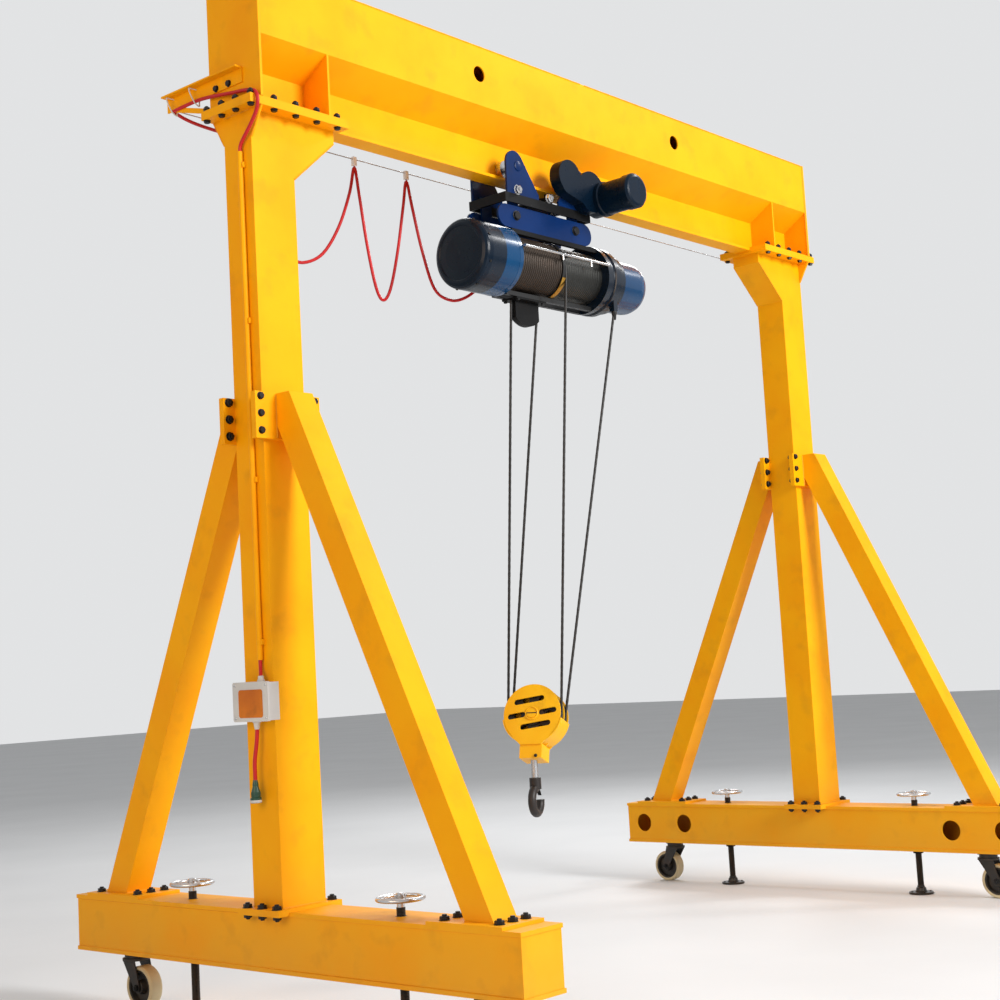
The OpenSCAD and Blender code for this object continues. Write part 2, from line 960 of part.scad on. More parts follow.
// Side plates, slotted in front, with the rim, the neck and the axle that join them
module block_shell() {
    outer = block_half + block_t;
    neck_w = 124;
    rim_z = 30;
    slot_w = 30;
    slot_tilt = 8;
    seat_h = 26;
    bearing_d = 66;
    color(yellow)
        difference() {
            block_frame() {
                difference() {
                    block_plate(-outer);
                    across(-outer - through, -block_half + through)
                        rotate(slot_tilt) {
                            slot([-9, 75], 172, slot_w);
                            slot([-88, 2], 100, slot_w);
                            slot([88, -2], 100, slot_w);
                            slot([12, -66], 172, slot_w);
                        }
                }
                block_plate(-block_t / 2);
                block_plate(block_half);
                across(-outer, outer)
                    difference() {
                        intersection() {
                            circle(r = sheave_r + 16, $fn = 64);
                            translate([-sheave_r - 20, -sheave_r - 20])
                                square([2 * sheave_r + 40, sheave_r + 20 - rim_z]);
                        }
                        circle(r = sheave_r + 10, $fn = 64);
                    }
                translate([-neck_w / 2, -neck_w / 2, -neck_drop])
                    cube([neck_w, neck_w, neck_drop - sheave_r - 12]);
            }
            translate([neck[0], neck[1], neck[2] - seat_h])
                cylinder(d = shank_d + 2 * pin_clear, h = 3 * seat_h);
            translate([neck[0], neck[1], neck[2] + seat_h])
                cylinder(d = bearing_d, h = seat_h + 6);
        }
    color(steel)
        block_frame()
            cross_bar(0, 0, axle_d, outer + 8);
}

// Rope sheave with a grooved rim, six round openings and a hub
module block_sheave(hand) {
    groove_r = sheave_r - rope_d / 2 + groove_rise;
    rim_r = sheave_r + 2;
    web_r = sheave_r - 32;
    hub_r = axle_d / 2 + 35;
    bore = axle_d / 2 + pin_clear;
    color(dark)
        block_frame()
            translate([0, hand * fall_side, 0])
                rotate([90, 0, 0])
                    difference() {
                        rotate_extrude($fn = 64)
                            polygon([
                                [bore, -22], [hub_r, -22], [hub_r, -10], [web_r, -10], [rim_r, -24],
                                [rim_r, -20], [groove_r, -5], [groove_r, 5], [rim_r, 20],
                                [rim_r, 24], [web_r, 10], [hub_r, 10], [hub_r, 22], [bore, 22]
                            ]);
                        for (a = [0:60:300])
                            rotate([0, 0, a])
                                translate([(hub_r + web_r) / 2, 0, 0])
                                    cylinder(d = 40, h = 40, center = true);
                    }
}

// Forged hook on its shank, which turns on the nut in the block's neck
module hook() {
    bowl_z = neck[2] - 209;
    collar_z = bowl_z + hook_r - 6;
    collar_h = 60;
    seat_h = 26;
    color(steel)
        translate([neck[0], neck[1], 0]) {
            translate([0, 0, collar_z])
                cylinder(d = shank_d, h = neck[2] + 56 - collar_z);
            translate([0, 0, neck[2] + seat_h + 3])
                cylinder(d = 60, h = seat_h, $fn = 6);
        }
    color(dark)
        translate([neck[0], neck[1], 0])
            rotate([0, 0, block_turn + 90]) {
                translate([0, 0, collar_z])
                    cylinder(d = hook_bar + 18, h = collar_h);
                translate([0, 0, bowl_z])
                    rotate([90, 0, 0])
                        rotate_extrude(angle = -285)
                            translate([hook_r, 0])
                                circle(d = hook_bar, $fn = 32);
            }
}

module rope_line(top, low) {
    d = top - low;
    translate(low)
        rotate([0, acos(d[2] / norm(d)), atan2(d[1], d[0])])
            cylinder(d = rope_d, h = norm(d), $fn = 16);
}

// Where a fall that leans by an angle comes onto its sheave, just before it lies in the groove
function fall_end(s, y, lean) =
    block_pt([
        s * sheave_r * cos(lean) + fall_lead * sin(lean),
        y,
        fall_lead * cos(lean) - s * sheave_r * sin(lean)
    ]);

// Four falls: two from the fixed sheave, one from the drum and the dead end at the gearbox
module rope_falls() {
    guard_z = bar_low - run_gap - 12;
    tops = [
        [sheave_x - sheave_half, 0, guard_z],
        [sheave_x + sheave_half, 0, guard_z],
        [wound_x + 9, fall_y, hoist_z],
        [anchor_x, fall_y + 23, anchor_z]
    ];
    low = [
        fall_end(-1, -fall_side, 5.8),
        fall_end(-1, fall_side, 7.7),
        fall_end(1, -fall_side, 3.8),
        fall_end(1, fall_side, 7.4)
    ];
    color(dark)
        for (i = [0:3])
            rope_line(tops[i], low[i]);
}

// Brackets outside the girder's ends, which carry the cable wire
module cable_brackets() {
    out = girder_end + end_t;
    plate_h = 73;
    plate_t = 8;
    ledge = 45;
    inner_y = -60;
    tip = 40;
    strut_d = 24;
    strut_t = 6;
    low = wire_z - 5;
    color(yellow)
        both_ends()
            union() {
                translate([out, inner_y, low])
                    cube([plate_t, wire_y + tip - inner_y, plate_h]);
                translate([out, inner_y, low + plate_h - plate_t])
                    cube([ledge, wire_y + tip - inner_y, plate_t]);
                along_span(out + plate_t, out + plate_t + strut_t)
                    hull() {
                        translate([wire_y, wire_z + 2])
                            circle(d = strut_d);
                        translate([160, seat_top + strut_d / 2 + run_gap])
                            circle(d = strut_d);
                    }
            }
}

module cable_wire() {
    out = girder_end + end_t;
    color(steel)
        translate([-out, wire_y, wire_z])
            rotate([0, 90, 0])
                cylinder(d = wire_d, h = 2 * out, $fn = 16);
}

// Clip that slides on the wire and holds a loop of the cable under it
module cable_clip(x) {
    color(pale)
        translate([x, wire_y, wire_z])
            difference() {
                translate([-12, -9, -36])
                    cube([24, 18, 48]);
                rotate([0, 90, 0])
                    cylinder(d = wire_d + 2 * pin_clear, h = 40, center = true, $fn = 24);
            }
}

// Conduit down the near column's outer face, in its saddles
module conduit() {
    x = -leg_x - col_x / 2 - conduit_d / 2 - 1;
    y = -28;
    low = 1621;
    high = flange_z - 189;
    saddle = [18, 44, 24];
    color(yellow)
        translate([x, y, low])
            cylinder(d = conduit_d, h = high - low);
    color(steel)
        for (i = [0:3])
            translate([x + 5, y, low + 79 + i * (high - low - 142) / 3])
                cube(saddle, center = true);
}

// Control box with a lid that stands a little proud
module control_box() {
    lid = 14;
    corner = 10;
    low_y = -132;
    color(pale)
        translate([-leg_x - col_x / 2, low_y, box_z]) {
            translate([-box_x + lid, 4, 4])
                cube([box_x - lid, box_y - 8, box_h - 8]);
            translate([-box_x, 0, 0])
                rotate([90, 0, 90])
                    linear_extrude(lid)
                        hull()
                            for (y = [corner, box_y - corner])
                                for (z = [corner, box_h - corner])
                                    translate([y, z])
                                        circle(r = corner);
        }
}

// A tube swept along points, with the same number of sides all along
function sub_pt(p, i) = p[min(max(i, 0), len(p) - 1)];
function unit(v) = v / norm(v);
function ring(p, i, r, n) =
    let(
        t = unit(sub_pt(p, i + 1) - sub_pt(p, i - 1)),
        side = unit(cross(t, [0.6, 0.8, 0])),
        up = cross(side, t)
    )
    [for (k = [0:n - 1]) p[i] + r * (cos(360 * k / n) * side + sin(360 * k / n) * up)];

// A smooth curve through the route's points, with one more point between each two
function midway(p, i) = (9 * (p[i] + p[i + 1]) - sub_pt(p, i - 1) - sub_pt(p, i + 2)) / 16;
function curve(p) = concat(
    [for (i = [0:len(p) - 2]) each [p[i], midway(p, i)]],
    [p[len(p) - 1]]
);

module tube(p, r, n) {
    m = len(p);
    polyhedron(
        points = [for (i = [0:m - 1]) each ring(p, i, r, n)],
        faces = concat(
            [[for (k = [n - 1:-1:0]) k]],
            [[for (k = [0:n - 1]) (m - 1) * n + k]],
            [for (i = [0:m - 2]) for (k = [0:n - 1])
                [i * n + k, i * n + (k + 1) % n, (i + 1) * n + (k + 1) % n, (i + 1) * n + k]]
        )
    );
}

cable_route = [
    [-2385, 440, 4236], [-2320, 447, 4222], [-2240, 450, 4212], [-2130, 450, 4206], [-2040, 450, 4205],
    [-1975, 450, 4204], [-1934, 450, 4186], [-1912, 450, 4130], [-1905, 450, 4040], [-1894, 450, 3920],
    [-1860, 450, 3790], [-1790, 450, 3690], [-1690, 450, 3640], [-1590, 450, 3632], [-1460, 450, 3700],
    [-1340, 450, 3860], [-1250, 450, 4060], [-1207, 450, 4205], [-1180, 450, 4060], [-1140, 450, 3800],
    [-1090, 450, 3580], [-1040, 450, 3511], [-980, 450, 3580], [-910, 450, 3800], [-850, 450, 4060],
    [-816, 450, 4205], [-790, 440, 4060], [-750, 420, 3820], [-700, 390, 3610], [-622, 350, 3548],
    [-540, 310, 3565], [-450, 270, 3640], [-385, 230, 3740], [-346, 200, 3830], [-333, 183, 3884],
    [-330, 162, 3908], [-330, 146, 3912], [-330, 130.3, 3912]
];

module power_cable() {
    color(red)
        tube(curve(cable_route), cable_d / 2, 8);
}

pigtail_route = [
    [-2410, -14, box_z + 4], [-2410, -14, 1338], [-2410, -14, 1318], [-2414, -11, 1260], [-2419, -3, 1200],
    [-2420, 0, 1165], [-2420, 0, 1130], [-2420, 0, 1083]
];

module supply_pigtail() {
    color(red)
        tube(curve(pigtail_route), 9, 8);
}

// Inlet plug that hangs under the control box on its lead
module supply_plug() {
    collar_d = 50;
    color([0.20, 0.50, 0.30])
        translate([-2420, 0, 1003])
            rotate_extrude()
                polygon([
                    [0, 0], [collar_d / 2 - 2, 0], [collar_d / 2, 3], [collar_d / 2, 22], [collar_d / 2 - 5, 25],
                    [collar_d / 2 - 5, 48], [12, 74], [12, 80], [0, 80]
                ]);
}

girder_box();
girder_track();
girder_end_plates();
girder_gussets();
head_plates();
column(-1);  // column_near
column(1);  // column_far
column_heads();
foot_plates();
brace(-1, 1);  // brace_near_left
brace(-1, -1);  // brace_near_right
brace(1, 1);  // brace_far_left
brace(1, -1);  // brace_far_right
brace_flanges();
base_beam(-1);  // base_beam_near
base_beam(1);  // base_beam_far
jack_nuts();
cable_brackets();
cable_wire();
conduit();
control_box();
supply_pigtail();
supply_plug();
jack(-1, 1);  // jack_1
jack(-1, -1);  // jack_2
jack(1, 1);  // jack_3
jack(1, -1);  // jack_4
caster_fork(-1, 1, -1);  // caster_fork_1
caster_fork(-1, -1, -1);  // caster_fork_2
caster_fork(1, 1, 1);  // caster_fork_3
caster_fork(1, -1, -1);  // caster_fork_4
caster_wheel(-1, 1, -1);  // caster_wheel_1
caster_wheel(-1, -1, -1);  // caster_wheel_2
caster_wheel(1, 1, 1);  // caster_wheel_3
caster_wheel(1, -1, -1);  // caster_wheel_4
trolley_frame();
trolley_rails();
travel_drive();
suspension_plates();
hoist_motor();
motor_cover();
hoist_housing();
hoist_gearbox();
rope_guide();
sheave_guard();
drum();
block_shell();
block_sheave(-1);  // block_sheave_1
block_sheave(1);  // block_sheave_2
hook();
rope_falls();
power_cable();
cable_clip(-1207);  // cable_clip_1
cable_clip(-816);  // cable_clip_2
cable_clip(-1960);  // cable_clip_3
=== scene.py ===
import json
import math

import bmesh
import bpy
from mathutils import Matrix, Vector


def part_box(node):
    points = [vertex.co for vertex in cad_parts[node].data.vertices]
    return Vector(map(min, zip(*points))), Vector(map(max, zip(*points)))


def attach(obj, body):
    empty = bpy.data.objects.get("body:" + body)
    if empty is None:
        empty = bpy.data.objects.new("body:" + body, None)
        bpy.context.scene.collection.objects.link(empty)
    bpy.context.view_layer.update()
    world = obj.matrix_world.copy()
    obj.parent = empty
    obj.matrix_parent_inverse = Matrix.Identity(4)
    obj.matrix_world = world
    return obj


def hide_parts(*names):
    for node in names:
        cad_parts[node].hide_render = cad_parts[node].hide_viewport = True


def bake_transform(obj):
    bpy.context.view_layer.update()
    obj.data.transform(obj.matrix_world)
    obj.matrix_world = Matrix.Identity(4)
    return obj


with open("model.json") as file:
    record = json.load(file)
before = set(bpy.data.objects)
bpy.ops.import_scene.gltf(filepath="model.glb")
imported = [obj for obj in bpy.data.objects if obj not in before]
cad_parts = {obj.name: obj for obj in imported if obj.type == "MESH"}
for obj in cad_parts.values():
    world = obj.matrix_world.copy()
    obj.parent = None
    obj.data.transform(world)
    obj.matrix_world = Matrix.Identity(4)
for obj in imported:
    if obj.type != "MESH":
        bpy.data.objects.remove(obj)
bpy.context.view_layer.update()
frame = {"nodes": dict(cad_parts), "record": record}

X = Vector((1, 0, 0))
Y = Vector((0, 1, 0))
Z = Vector((0, 0, 1))

# Sizes of the portal in metres, as in the part's source
LEG_X = 2.25
COL_HALF_X = 0.125
COL_HALF_Y = 0.095
BASE_LOW = 0.270
BASE_TOP = 0.535
FOOT_TOP = 0.549
EAR_LOW = 0.521
HEAD_LOW = 4.112
HEAD_TOP = 4.152
GIRDER_TOP = 4.770
GIRDER_HALF = 0.175
GIRDER_END = 2.368
CASTER_Y = 1.148
TRAIL = 0.060
JACK_Y = 0.690

# Places on the trolley and its hoist
TROLLEY_X = -0.305
PLATE_Y = 0.131
PIN_X = (-0.5715, -0.0685)
PIN_Z = 3.925
ROD_Z = 4.063
DRUM_Z = 3.693
DRUM_X0 = -0.6117
DRUM_X1 = 0.1167
WOUND_X = -0.225
WOUND_R = 0.153
BARE_R = 0.145
ROPE_R = 0.0075

# Places on the hook block
BLOCK = Vector((-0.376, 0.112, 1.257))
BLOCK_TURN = math.radians(-69)
BLOCK_LEAN = math.radians(18)
SHEAVE_R = 0.152
FALL_SIDE = 0.033
FALL_LEAD = 0.020
NECK_DROP = 0.240

# Thread diameters of the portal's bolts
FOOT_BOLT = 0.022
EAR_BOLT = 0.020
FLANGE_BOLT = 0.017
HEAD_BOLT = 0.0165
BRACKET_BOLT = 0.016

# Radii of the power cable and of the lead under the control box
CABLE_R = 0.0085
LEAD_R = 0.009

# Outer face of the control box's lid
LID_X = -2.443


# Camera at the photograph's viewing point
def place_camera():
    yaw, pitch, roll = (math.radians(a) for a in (41.21, 5.95, -3.21))
    ahead = Vector((math.cos(yaw) * math.cos(pitch), math.sin(yaw) * math.cos(pitch),
                    math.sin(pitch)))
    level = Vector((math.sin(yaw), -math.cos(yaw), 0))
    up = level.cross(ahead)
    right = math.cos(roll) * level + math.sin(roll) * up
    top = math.cos(roll) * up - math.sin(roll) * level
    cam = bpy.data.objects.new("camera", bpy.data.cameras.new("camera"))
    bpy.context.scene.collection.objects.link(cam)
    turn = Matrix((right, top, -ahead)).transposed().to_4x4()
    cam.matrix_world = Matrix.Translation((-7.0463, -5.5593, 1.5323)) @ turn
    cam.data.sensor_width = 36
    cam.data.lens = 58.27
    cam.data.shift_y = -0.002
    cam.data.clip_end = 100
    bpy.context.scene.camera = cam


# A mesh object from a bmesh, linked to the scene
def make(name, bm, mat, smooth=None):
    mesh = bpy.data.meshes.new(name)
    bmesh.ops.recalc_face_normals(bm, faces=bm.faces)
    bm.to_mesh(mesh)
    bm.free()
    mesh.materials.append(mat)
    obj = bpy.data.objects.new(name, mesh)
    bpy.context.scene.collection.objects.link(obj)
    if smooth is not None:
        mesh.polygons.foreach_set("use_smooth", [True] * len(mesh.polygons))
        mesh.set_sharp_from_angle(angle=math.radians(smooth))
    return obj


# A piece that rides on a body and takes its finish from a slot
def piece(name, bm, mat, body, smooth=None):
    obj = make(name, bm, MATS[mat], smooth)
    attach(obj, body)
    return obj


# Points on a smooth curve through the given ones
def smooth_path(points, steps):
    pts = [Vector(p) for p in points]
    ends = [2 * pts[0] - pts[1]] + pts + [2 * pts[-1] - pts[-2]]
    out = []
    for i in range(1, len(ends) - 2):
        a, b, c, d = ends[i - 1:i + 3]
        for k in range(steps):
            t = k / steps
            out.append(0.5 * (2 * b + (c - a) * t + (2 * a - 5 * b + 4 * c - d) * t ** 2
                              + (3 * b - a - 3 * c + d) * t ** 3))
    return out + [pts[-1]]


# A straight run of points, close enough together to bend
def straight(low, high, step):
    count = max(1, round((high - low).length / step))
    return [low.lerp(high, k / count) for k in range(count + 1)]


# A tube along points, closed at both ends; lobes and twist make it a laid rope
def sweep(bm, path, radius, sides=12, lobe=0.0, twist=0.0, uneven=0.0):
    rings = []
    side = None
    for i, p in enumerate(path):
        t = (path[min(i + 1, len(path) - 1)] - path[max(i - 1, 0)]).normalized()
        if side is None:
            side = t.orthogonal().normalized()
        side = (side - t * side.dot(t)).normalized()
        up = t.cross(side)
        swell = 1 + uneven * math.sin(i * 2.4)
        ring = []
        for k in range(sides):
            a = 2 * math.pi * k / sides + twist * i
            r = radius * swell * (1 - lobe * (k % 2))
            ring.append(bm.verts.new(p + r * (math.cos(a) * side + math.sin(a) * up)))
        rings.append(ring)
    for low, high in zip(rings, rings[1:]):
        for k in range(sides):
            j = (k + 1) % sides
            bm.faces.new((low[k], low[j], high[j], high[k]))
    bm.faces.new(rings[0][::-1])
    bm.faces.new(rings[-1])


# A turned form: profile holds pairs of radius and distance along the axis
def lathe(bm, place, axis, profile, sides=24, turn=0.0):
    axis = Vector(axis).normalized()
    side = axis.orthogonal().normalized()
    up = axis.cross(side)
    place = Vector(place)
    rings = []
    for r, h in profile:
        if r < 1e-6:
            rings.append([bm.verts.new(place + axis * h)])
            continue
        ring = []
        for k in range(sides):
            a = turn + 2 * math.pi * k / sides
            out = math.cos(a) * side + math.sin(a) * up
            ring.append(bm.verts.new(place + axis * h + r * out))
        rings.append(ring)
    for low, high in zip(rings, rings[1:]):
        for k in range(sides):
            j = (k + 1) % sides
            if len(low) == 1:
                bm.faces.new((low[0], high[j], high[k]))
            elif len(high) == 1:
                bm.faces.new((low[k], low[j], high[0]))
            else:
                bm.faces.new((low[k], low[j], high[j], high[k]))
    for ring in (rings[0], rings[-1]):
        if len(ring) > 1:
            bm.faces.new(ring)


# A flat form with a bevelled rim, pushed out along an axis
def slab(bm, corners, axis, thick, bevel):
    axis = Vector(axis).normalized()
    pts = [Vector(c) for c in corners]
    mid = sum(pts, Vector()) / len(pts)
    rows = []
    for grow, h in ((0, 0), (0, thick - bevel), (-bevel, thick)):
        row = []
        for p in pts:
            out = (p - mid).normalized()
            row.append(bm.verts.new(p + out * grow + axis * h))
        rows.append(row)
    count = len(pts)
    for low, high in zip(rows, rows[1:]):
        for k in range(count):
            j = (k + 1) % count
            bm.faces.new((low[k], low[j], high[j], high[k]))
    bm.faces.new(rows[0][::-1])
    bm.faces.new(rows[-1])


# Hexagon-headed bolt on its washer; d is the thread's diameter
def bolt(bm, place, axis, d):
    lathe(bm, place, axis, [(1.04 * d, 0), (1.04 * d, 0.12 * d), (0.9 * d, 0.15 * d)], 14)
    head = [(0.92 * d, 0.14 * d), (0.92 * d, 0.66 * d), (0.78 * d, 0.77 * d), (0, 0.78 * d)]
    lathe(bm, place, axis, head, 6, 0.4)


# Nut on its washer with the end of the thread through it
def nut(bm, place, axis, d):
    bolt(bm, place, axis, d)
    end = [(0.47 * d, 0.76 * d), (0.47 * d, 1.0 * d), (0.4 * d, 1.08 * d), (0, 1.08 * d)]
    lathe(bm, place, axis, end, 10)


# Weld bead along a straight seam
def bead(bm, low, high, radius=0.0045):
    path = straight(Vector(low), Vector(high), 0.035)
    sweep(bm, path, radius, 5, uneven=0.14)


# Weld bead round a rectangle that lies level
def bead_ring(bm, mid, half_x, half_y, radius=0.0045):
    x, y, z = mid
    corners = [(x - half_x, y - half_y, z), (x + half_x, y - half_y, z),
               (x + half_x, y + half_y, z), (x - half_x, y + half_y, z)]
    for k in range(4):
        bead(bm, corners[k], corners[(k + 1) % 4], radius)


# Points of the hanging power cable, as in the part's source, in metres
CABLE_ROUTE = [
    (-2.385, 0.440, 4.236), (-2.320, 0.447, 4.222), (-2.240, 0.450, 4.212), (-2.130, 0.450, 4.206),
    (-2.040, 0.450, 4.205), (-1.975, 0.450, 4.204), (-1.934, 0.450, 4.186), (-1.912, 0.450, 4.130),
    (-1.905, 0.450, 4.040), (-1.894, 0.450, 3.920), (-1.860, 0.450, 3.790), (-1.790, 0.450, 3.690),
    (-1.690, 0.450, 3.640), (-1.590, 0.450, 3.632), (-1.460, 0.450, 3.700), (-1.340, 0.450, 3.860),
    (-1.250, 0.450, 4.060), (-1.207, 0.450, 4.205), (-1.180, 0.450, 4.060), (-1.140, 0.450, 3.800),
    (-1.090, 0.450, 3.580), (-1.040, 0.450, 3.511), (-0.980, 0.450, 3.580), (-0.910, 0.450, 3.800),
    (-0.850, 0.450, 4.060), (-0.816, 0.450, 4.205), (-0.790, 0.440, 4.060), (-0.750, 0.420, 3.820),
    (-0.700, 0.390, 3.610), (-0.622, 0.350, 3.548), (-0.540, 0.310, 3.565), (-0.450, 0.270, 3.640),
    (-0.385, 0.230, 3.740), (-0.346, 0.200, 3.830), (-0.333, 0.183, 3.884), (-0.330, 0.162, 3.908),
    (-0.330, 0.146, 3.912), (-0.330, 0.1303, 3.912),
]
# Points of the lead from the control box to its plug
PIGTAIL_ROUTE = [
    (-2.410, -0.014, 1.359), (-2.410, -0.014, 1.338), (-2.410, -0.014, 1.318), (-2.414, -0.011, 1.260),
    (-2.419, -0.003, 1.200), (-2.420, 0.000, 1.165), (-2.420, 0.000, 1.130), (-2.420, 0.000, 1.083),
]
# Fixed cable along the near bracket, round the head plate and down into the conduit
FIXED_ROUTE = [
    (-2.396, 0.440, 4.238), (-2.398, 0.330, 4.240), (-2.398, 0.220, 4.238), (-2.399, 0.100, 4.222),
    (-2.400, -0.010, 4.204), (-2.402, -0.080, 4.194), (-2.406, -0.132, 4.182), (-2.410, -0.172, 4.166),
    (-2.412, -0.190, 4.140), (-2.410, -0.189, 4.108), (-2.404, -0.168, 4.072), (-2.398, -0.120, 4.026),
    (-2.394, -0.070, 3.984), (-2.390, -0.036, 3.952), (-2.389, -0.028, 3.918),
]
# Its lower end, out of the conduit and into the control box
TAIL_ROUTE = [
    (-2.389, -0.028, 1.630), (-2.389, -0.028, 1.605), (-2.394, -0.034, 1.580), (-2.406, -0.048, 1.555),
    (-2.411, -0.054, 1.535), (-2.411, -0.054, 1.520),
]


# Nodes of a new material, with the coordinates that ride with the object
def shader(name):
    mat = bpy.data.materials.new(name)
    mat.use_nodes = True
    nodes = mat.node_tree.nodes
    coord = nodes.new("ShaderNodeTexCoord").outputs["Object"]
    return mat, nodes, mat.node_tree.links, nodes["Principled BSDF"], coord


# Cloudy noise
def noise(nodes, links, scale, detail, coord):
    tex = nodes.new("ShaderNodeTexNoise")
    tex.inputs["Scale"].default_value = scale
    tex.inputs["Detail"].default_value = detail
    links.new(coord, tex.inputs["Vector"])
    return tex.outputs["Fac"]


# Colours that follow a value between stops
def ramp(nodes, links, fac, stops):
    node = nodes.new("ShaderNodeValToRGB")
    while len(node.color_ramp.elements) < len(stops):
        node.color_ramp.elements.new(0.5)
    for element, (place, color) in zip(node.color_ramp.elements, stops):
        element.position = place
        element.color = (*color, 1)
    links.new(fac, node.inputs["Fac"])
    return node.outputs["Color"]


# A sum on values or sockets
def math_node(nodes, links, operation, *values):
    node = nodes.new("ShaderNodeMath")
    node.operation = operation
    for socket, value in zip(node.inputs, values):
        if isinstance(value, (int, float)):
            socket.default_value = value
        else:
            links.new(value, socket)
    return node.outputs["Value"]


# A value from 0 to 1 brought into a range
def spread_out(nodes, links, fac, low, high):
    node = nodes.new("ShaderNodeMapRange")
    node.inputs["To Min"].default_value = low
    node.inputs["To Max"].default_value = high
    links.new(fac, node.inputs["Value"])
    return node.outputs["Result"]


# Two colours mixed by a value
def blend_color(nodes, links, fac, first, second):
    node = nodes.new("ShaderNodeMix")
    node.data_type = "RGBA"
    links.new(fac, node.inputs["Factor"])
    for socket, value in ((node.inputs["A"], first), (node.inputs["B"], second)):
        if isinstance(value, tuple):
            socket.default_value = (*value, 1)
        else:
            links.new(value, socket)
    return node.outputs["Result"]


# One axis of the object's coordinates, or the distance from an axis along the span
def place_of(nodes, links, coord, rule):
    split = nodes.new("ShaderNodeSeparateXYZ")
    links.new(coord, split.inputs["Vector"])
    if rule["axis"] == "radius":
        dy = math_node(nodes, links, "SUBTRACT", split.outputs["Y"], rule["center"][0])
        dz = math_node(nodes, links, "SUBTRACT", split.outputs["Z"], rule["center"][1])
        squares = math_node(nodes, links, "ADD", math_node(nodes, links, "MULTIPLY", dy, dy),
                            math_node(nodes, links, "MULTIPLY", dz, dz))
        return math_node(nodes, links, "SQRT", squares)
    value = split.outputs[rule["axis"][-1].upper()]
    if rule["axis"].startswith("abs"):
        value = math_node(nodes, links, "ABSOLUTE", value)
    return value


# Paint, metal or plastic with its own grain
# A second look takes over past a place, and dirt lies over both; on some materials one of the two
# looks is painted shade
def surface(name, look, other=None, rule=None, coat=0.0, specular=0.5, grain=60.0, depth=0.0004,
            dirt=0.0, dirt_color=(0.10, 0.05, 0.025), dust=0.0, thread=0.0):
    mat, nodes, links, bsdf, coord = shader(name)
    color, dark, rough, metal = look
    broad = noise(nodes, links, 3.1, 6.0, coord)
    fine = noise(nodes, links, grain, 5.0, coord)
    base = ramp(nodes, links, broad, [(0.3, dark), (0.62, color)])
    roughness = spread_out(nodes, links, fine, max(rough - 0.10, 0.04), rough + 0.10)
    bsdf.inputs["Metallic"].default_value = metal
    if other:
        place = place_of(nodes, links, coord, rule)
        past = math_node(nodes, links, "GREATER_THAN", place, rule["at"])
        color2, dark2, rough2, metal2 = other
        base2 = ramp(nodes, links, broad, [(0.3, dark2), (0.62, color2)])
        base = blend_color(nodes, links, past, base, base2)
        shift = math_node(nodes, links, "MULTIPLY", past, rough2 - rough)
        roughness = math_node(nodes, links, "ADD", roughness, shift)
        if metal2 != metal:
            links.new(spread_out(nodes, links, past, metal, metal2), bsdf.inputs["Metallic"])
    if dirt:
        spots = noise(nodes, links, 7.0, 9.0, coord)
        cover = ramp(nodes, links, spots, [(0.56, (0, 0, 0)), (0.72, (dirt, dirt, dirt))])
        base = blend_color(nodes, links, cover, base, dirt_color)
        duller = math_node(nodes, links, "MULTIPLY", cover, 0.25)
        roughness = math_node(nodes, links, "ADD", roughness, duller)
    if dust:
        height = place_of(nodes, links, coord, {"axis": "z"})
        low = math_node(nodes, links, "SUBTRACT", 0.75, height)
        low = math_node(nodes, links, "MULTIPLY", low, 1.3)
        low = math_node(nodes, links, "MULTIPLY", low, broad)
        low = math_node(nodes, links, "MULTIPLY", low, dust)
        low = math_node(nodes, links, "MAXIMUM", low, 0.0)
        base = blend_color(nodes, links, low, base, (0.34, 0.22, 0.10))
    links.new(base, bsdf.inputs["Base Color"])
    links.new(roughness, bsdf.inputs["Roughness"])
    bsdf.inputs["Coat Weight"].default_value = coat
    bsdf.inputs["Coat Roughness"].default_value = 0.12
    bsdf.inputs["Specular IOR Level"].default_value = specular
    relief = nodes.new("ShaderNodeBump")
    relief.inputs["Strength"].default_value = 0.35
    relief.inputs["Distance"].default_value = depth
    links.new(fine, relief.inputs["Height"])
    normal = relief.outputs["Normal"]
    if thread:
        height = place_of(nodes, links, coord, {"axis": "z"})
        phase = math_node(nodes, links, "MULTIPLY", height, 2 * math.pi / thread)
        wave = math_node(nodes, links, "SINE", phase)
        below = math_node(nodes, links, "LESS_THAN", height, rule["at"])
        above = math_node(nodes, links, "GREATER_THAN", height, 0.045)
        within = math_node(nodes, links, "MULTIPLY", below, above)
        wave = math_node(nodes, links, "MULTIPLY", wave, within)
        ridges = nodes.new("ShaderNodeBump")
        ridges.inputs["Strength"].default_value = 0.8
        ridges.inputs["Distance"].default_value = 0.0016
        links.new(wave, ridges.inputs["Height"])
        links.new(normal, ridges.inputs["Normal"])
        normal = ridges.outputs["Normal"]
    links.new(normal, bsdf.inputs["Normal"])
    return mat


# Looks: colour, darker colour, roughness, metal
YELLOW = ((0.95, 0.430, 0.002), (0.93, 0.370, 0.001), 0.46, 0.0)
BLUE = ((0.001, 0.021, 0.105), (0.001, 0.014, 0.070), 0.32, 0.0)
NAVY = ((0.0008, 0.0075, 0.0190), (0.0006, 0.0050, 0.0130), 0.30, 0.0)
SEA = ((0.001, 0.045, 0.130), (0.001, 0.030, 0.090), 0.24, 0.0)
BLACK = ((0.0050, 0.0050, 0.0055), (0.0030, 0.0030, 0.0030), 0.48, 0.0)
BRIGHT = ((0.62, 0.62, 0.62), (0.48, 0.48, 0.49), 0.26, 1.0)
OILY = ((0.055, 0.050, 0.045), (0.028, 0.025, 0.022), 0.34, 0.8)
TREAD = ((0.68, 0.58, 0.36), (0.52, 0.44, 0.27), 0.5, 0.0)
FORK = ((0.030, 0.028, 0.026), (0.018, 0.016, 0.014), 0.5, 0.3)
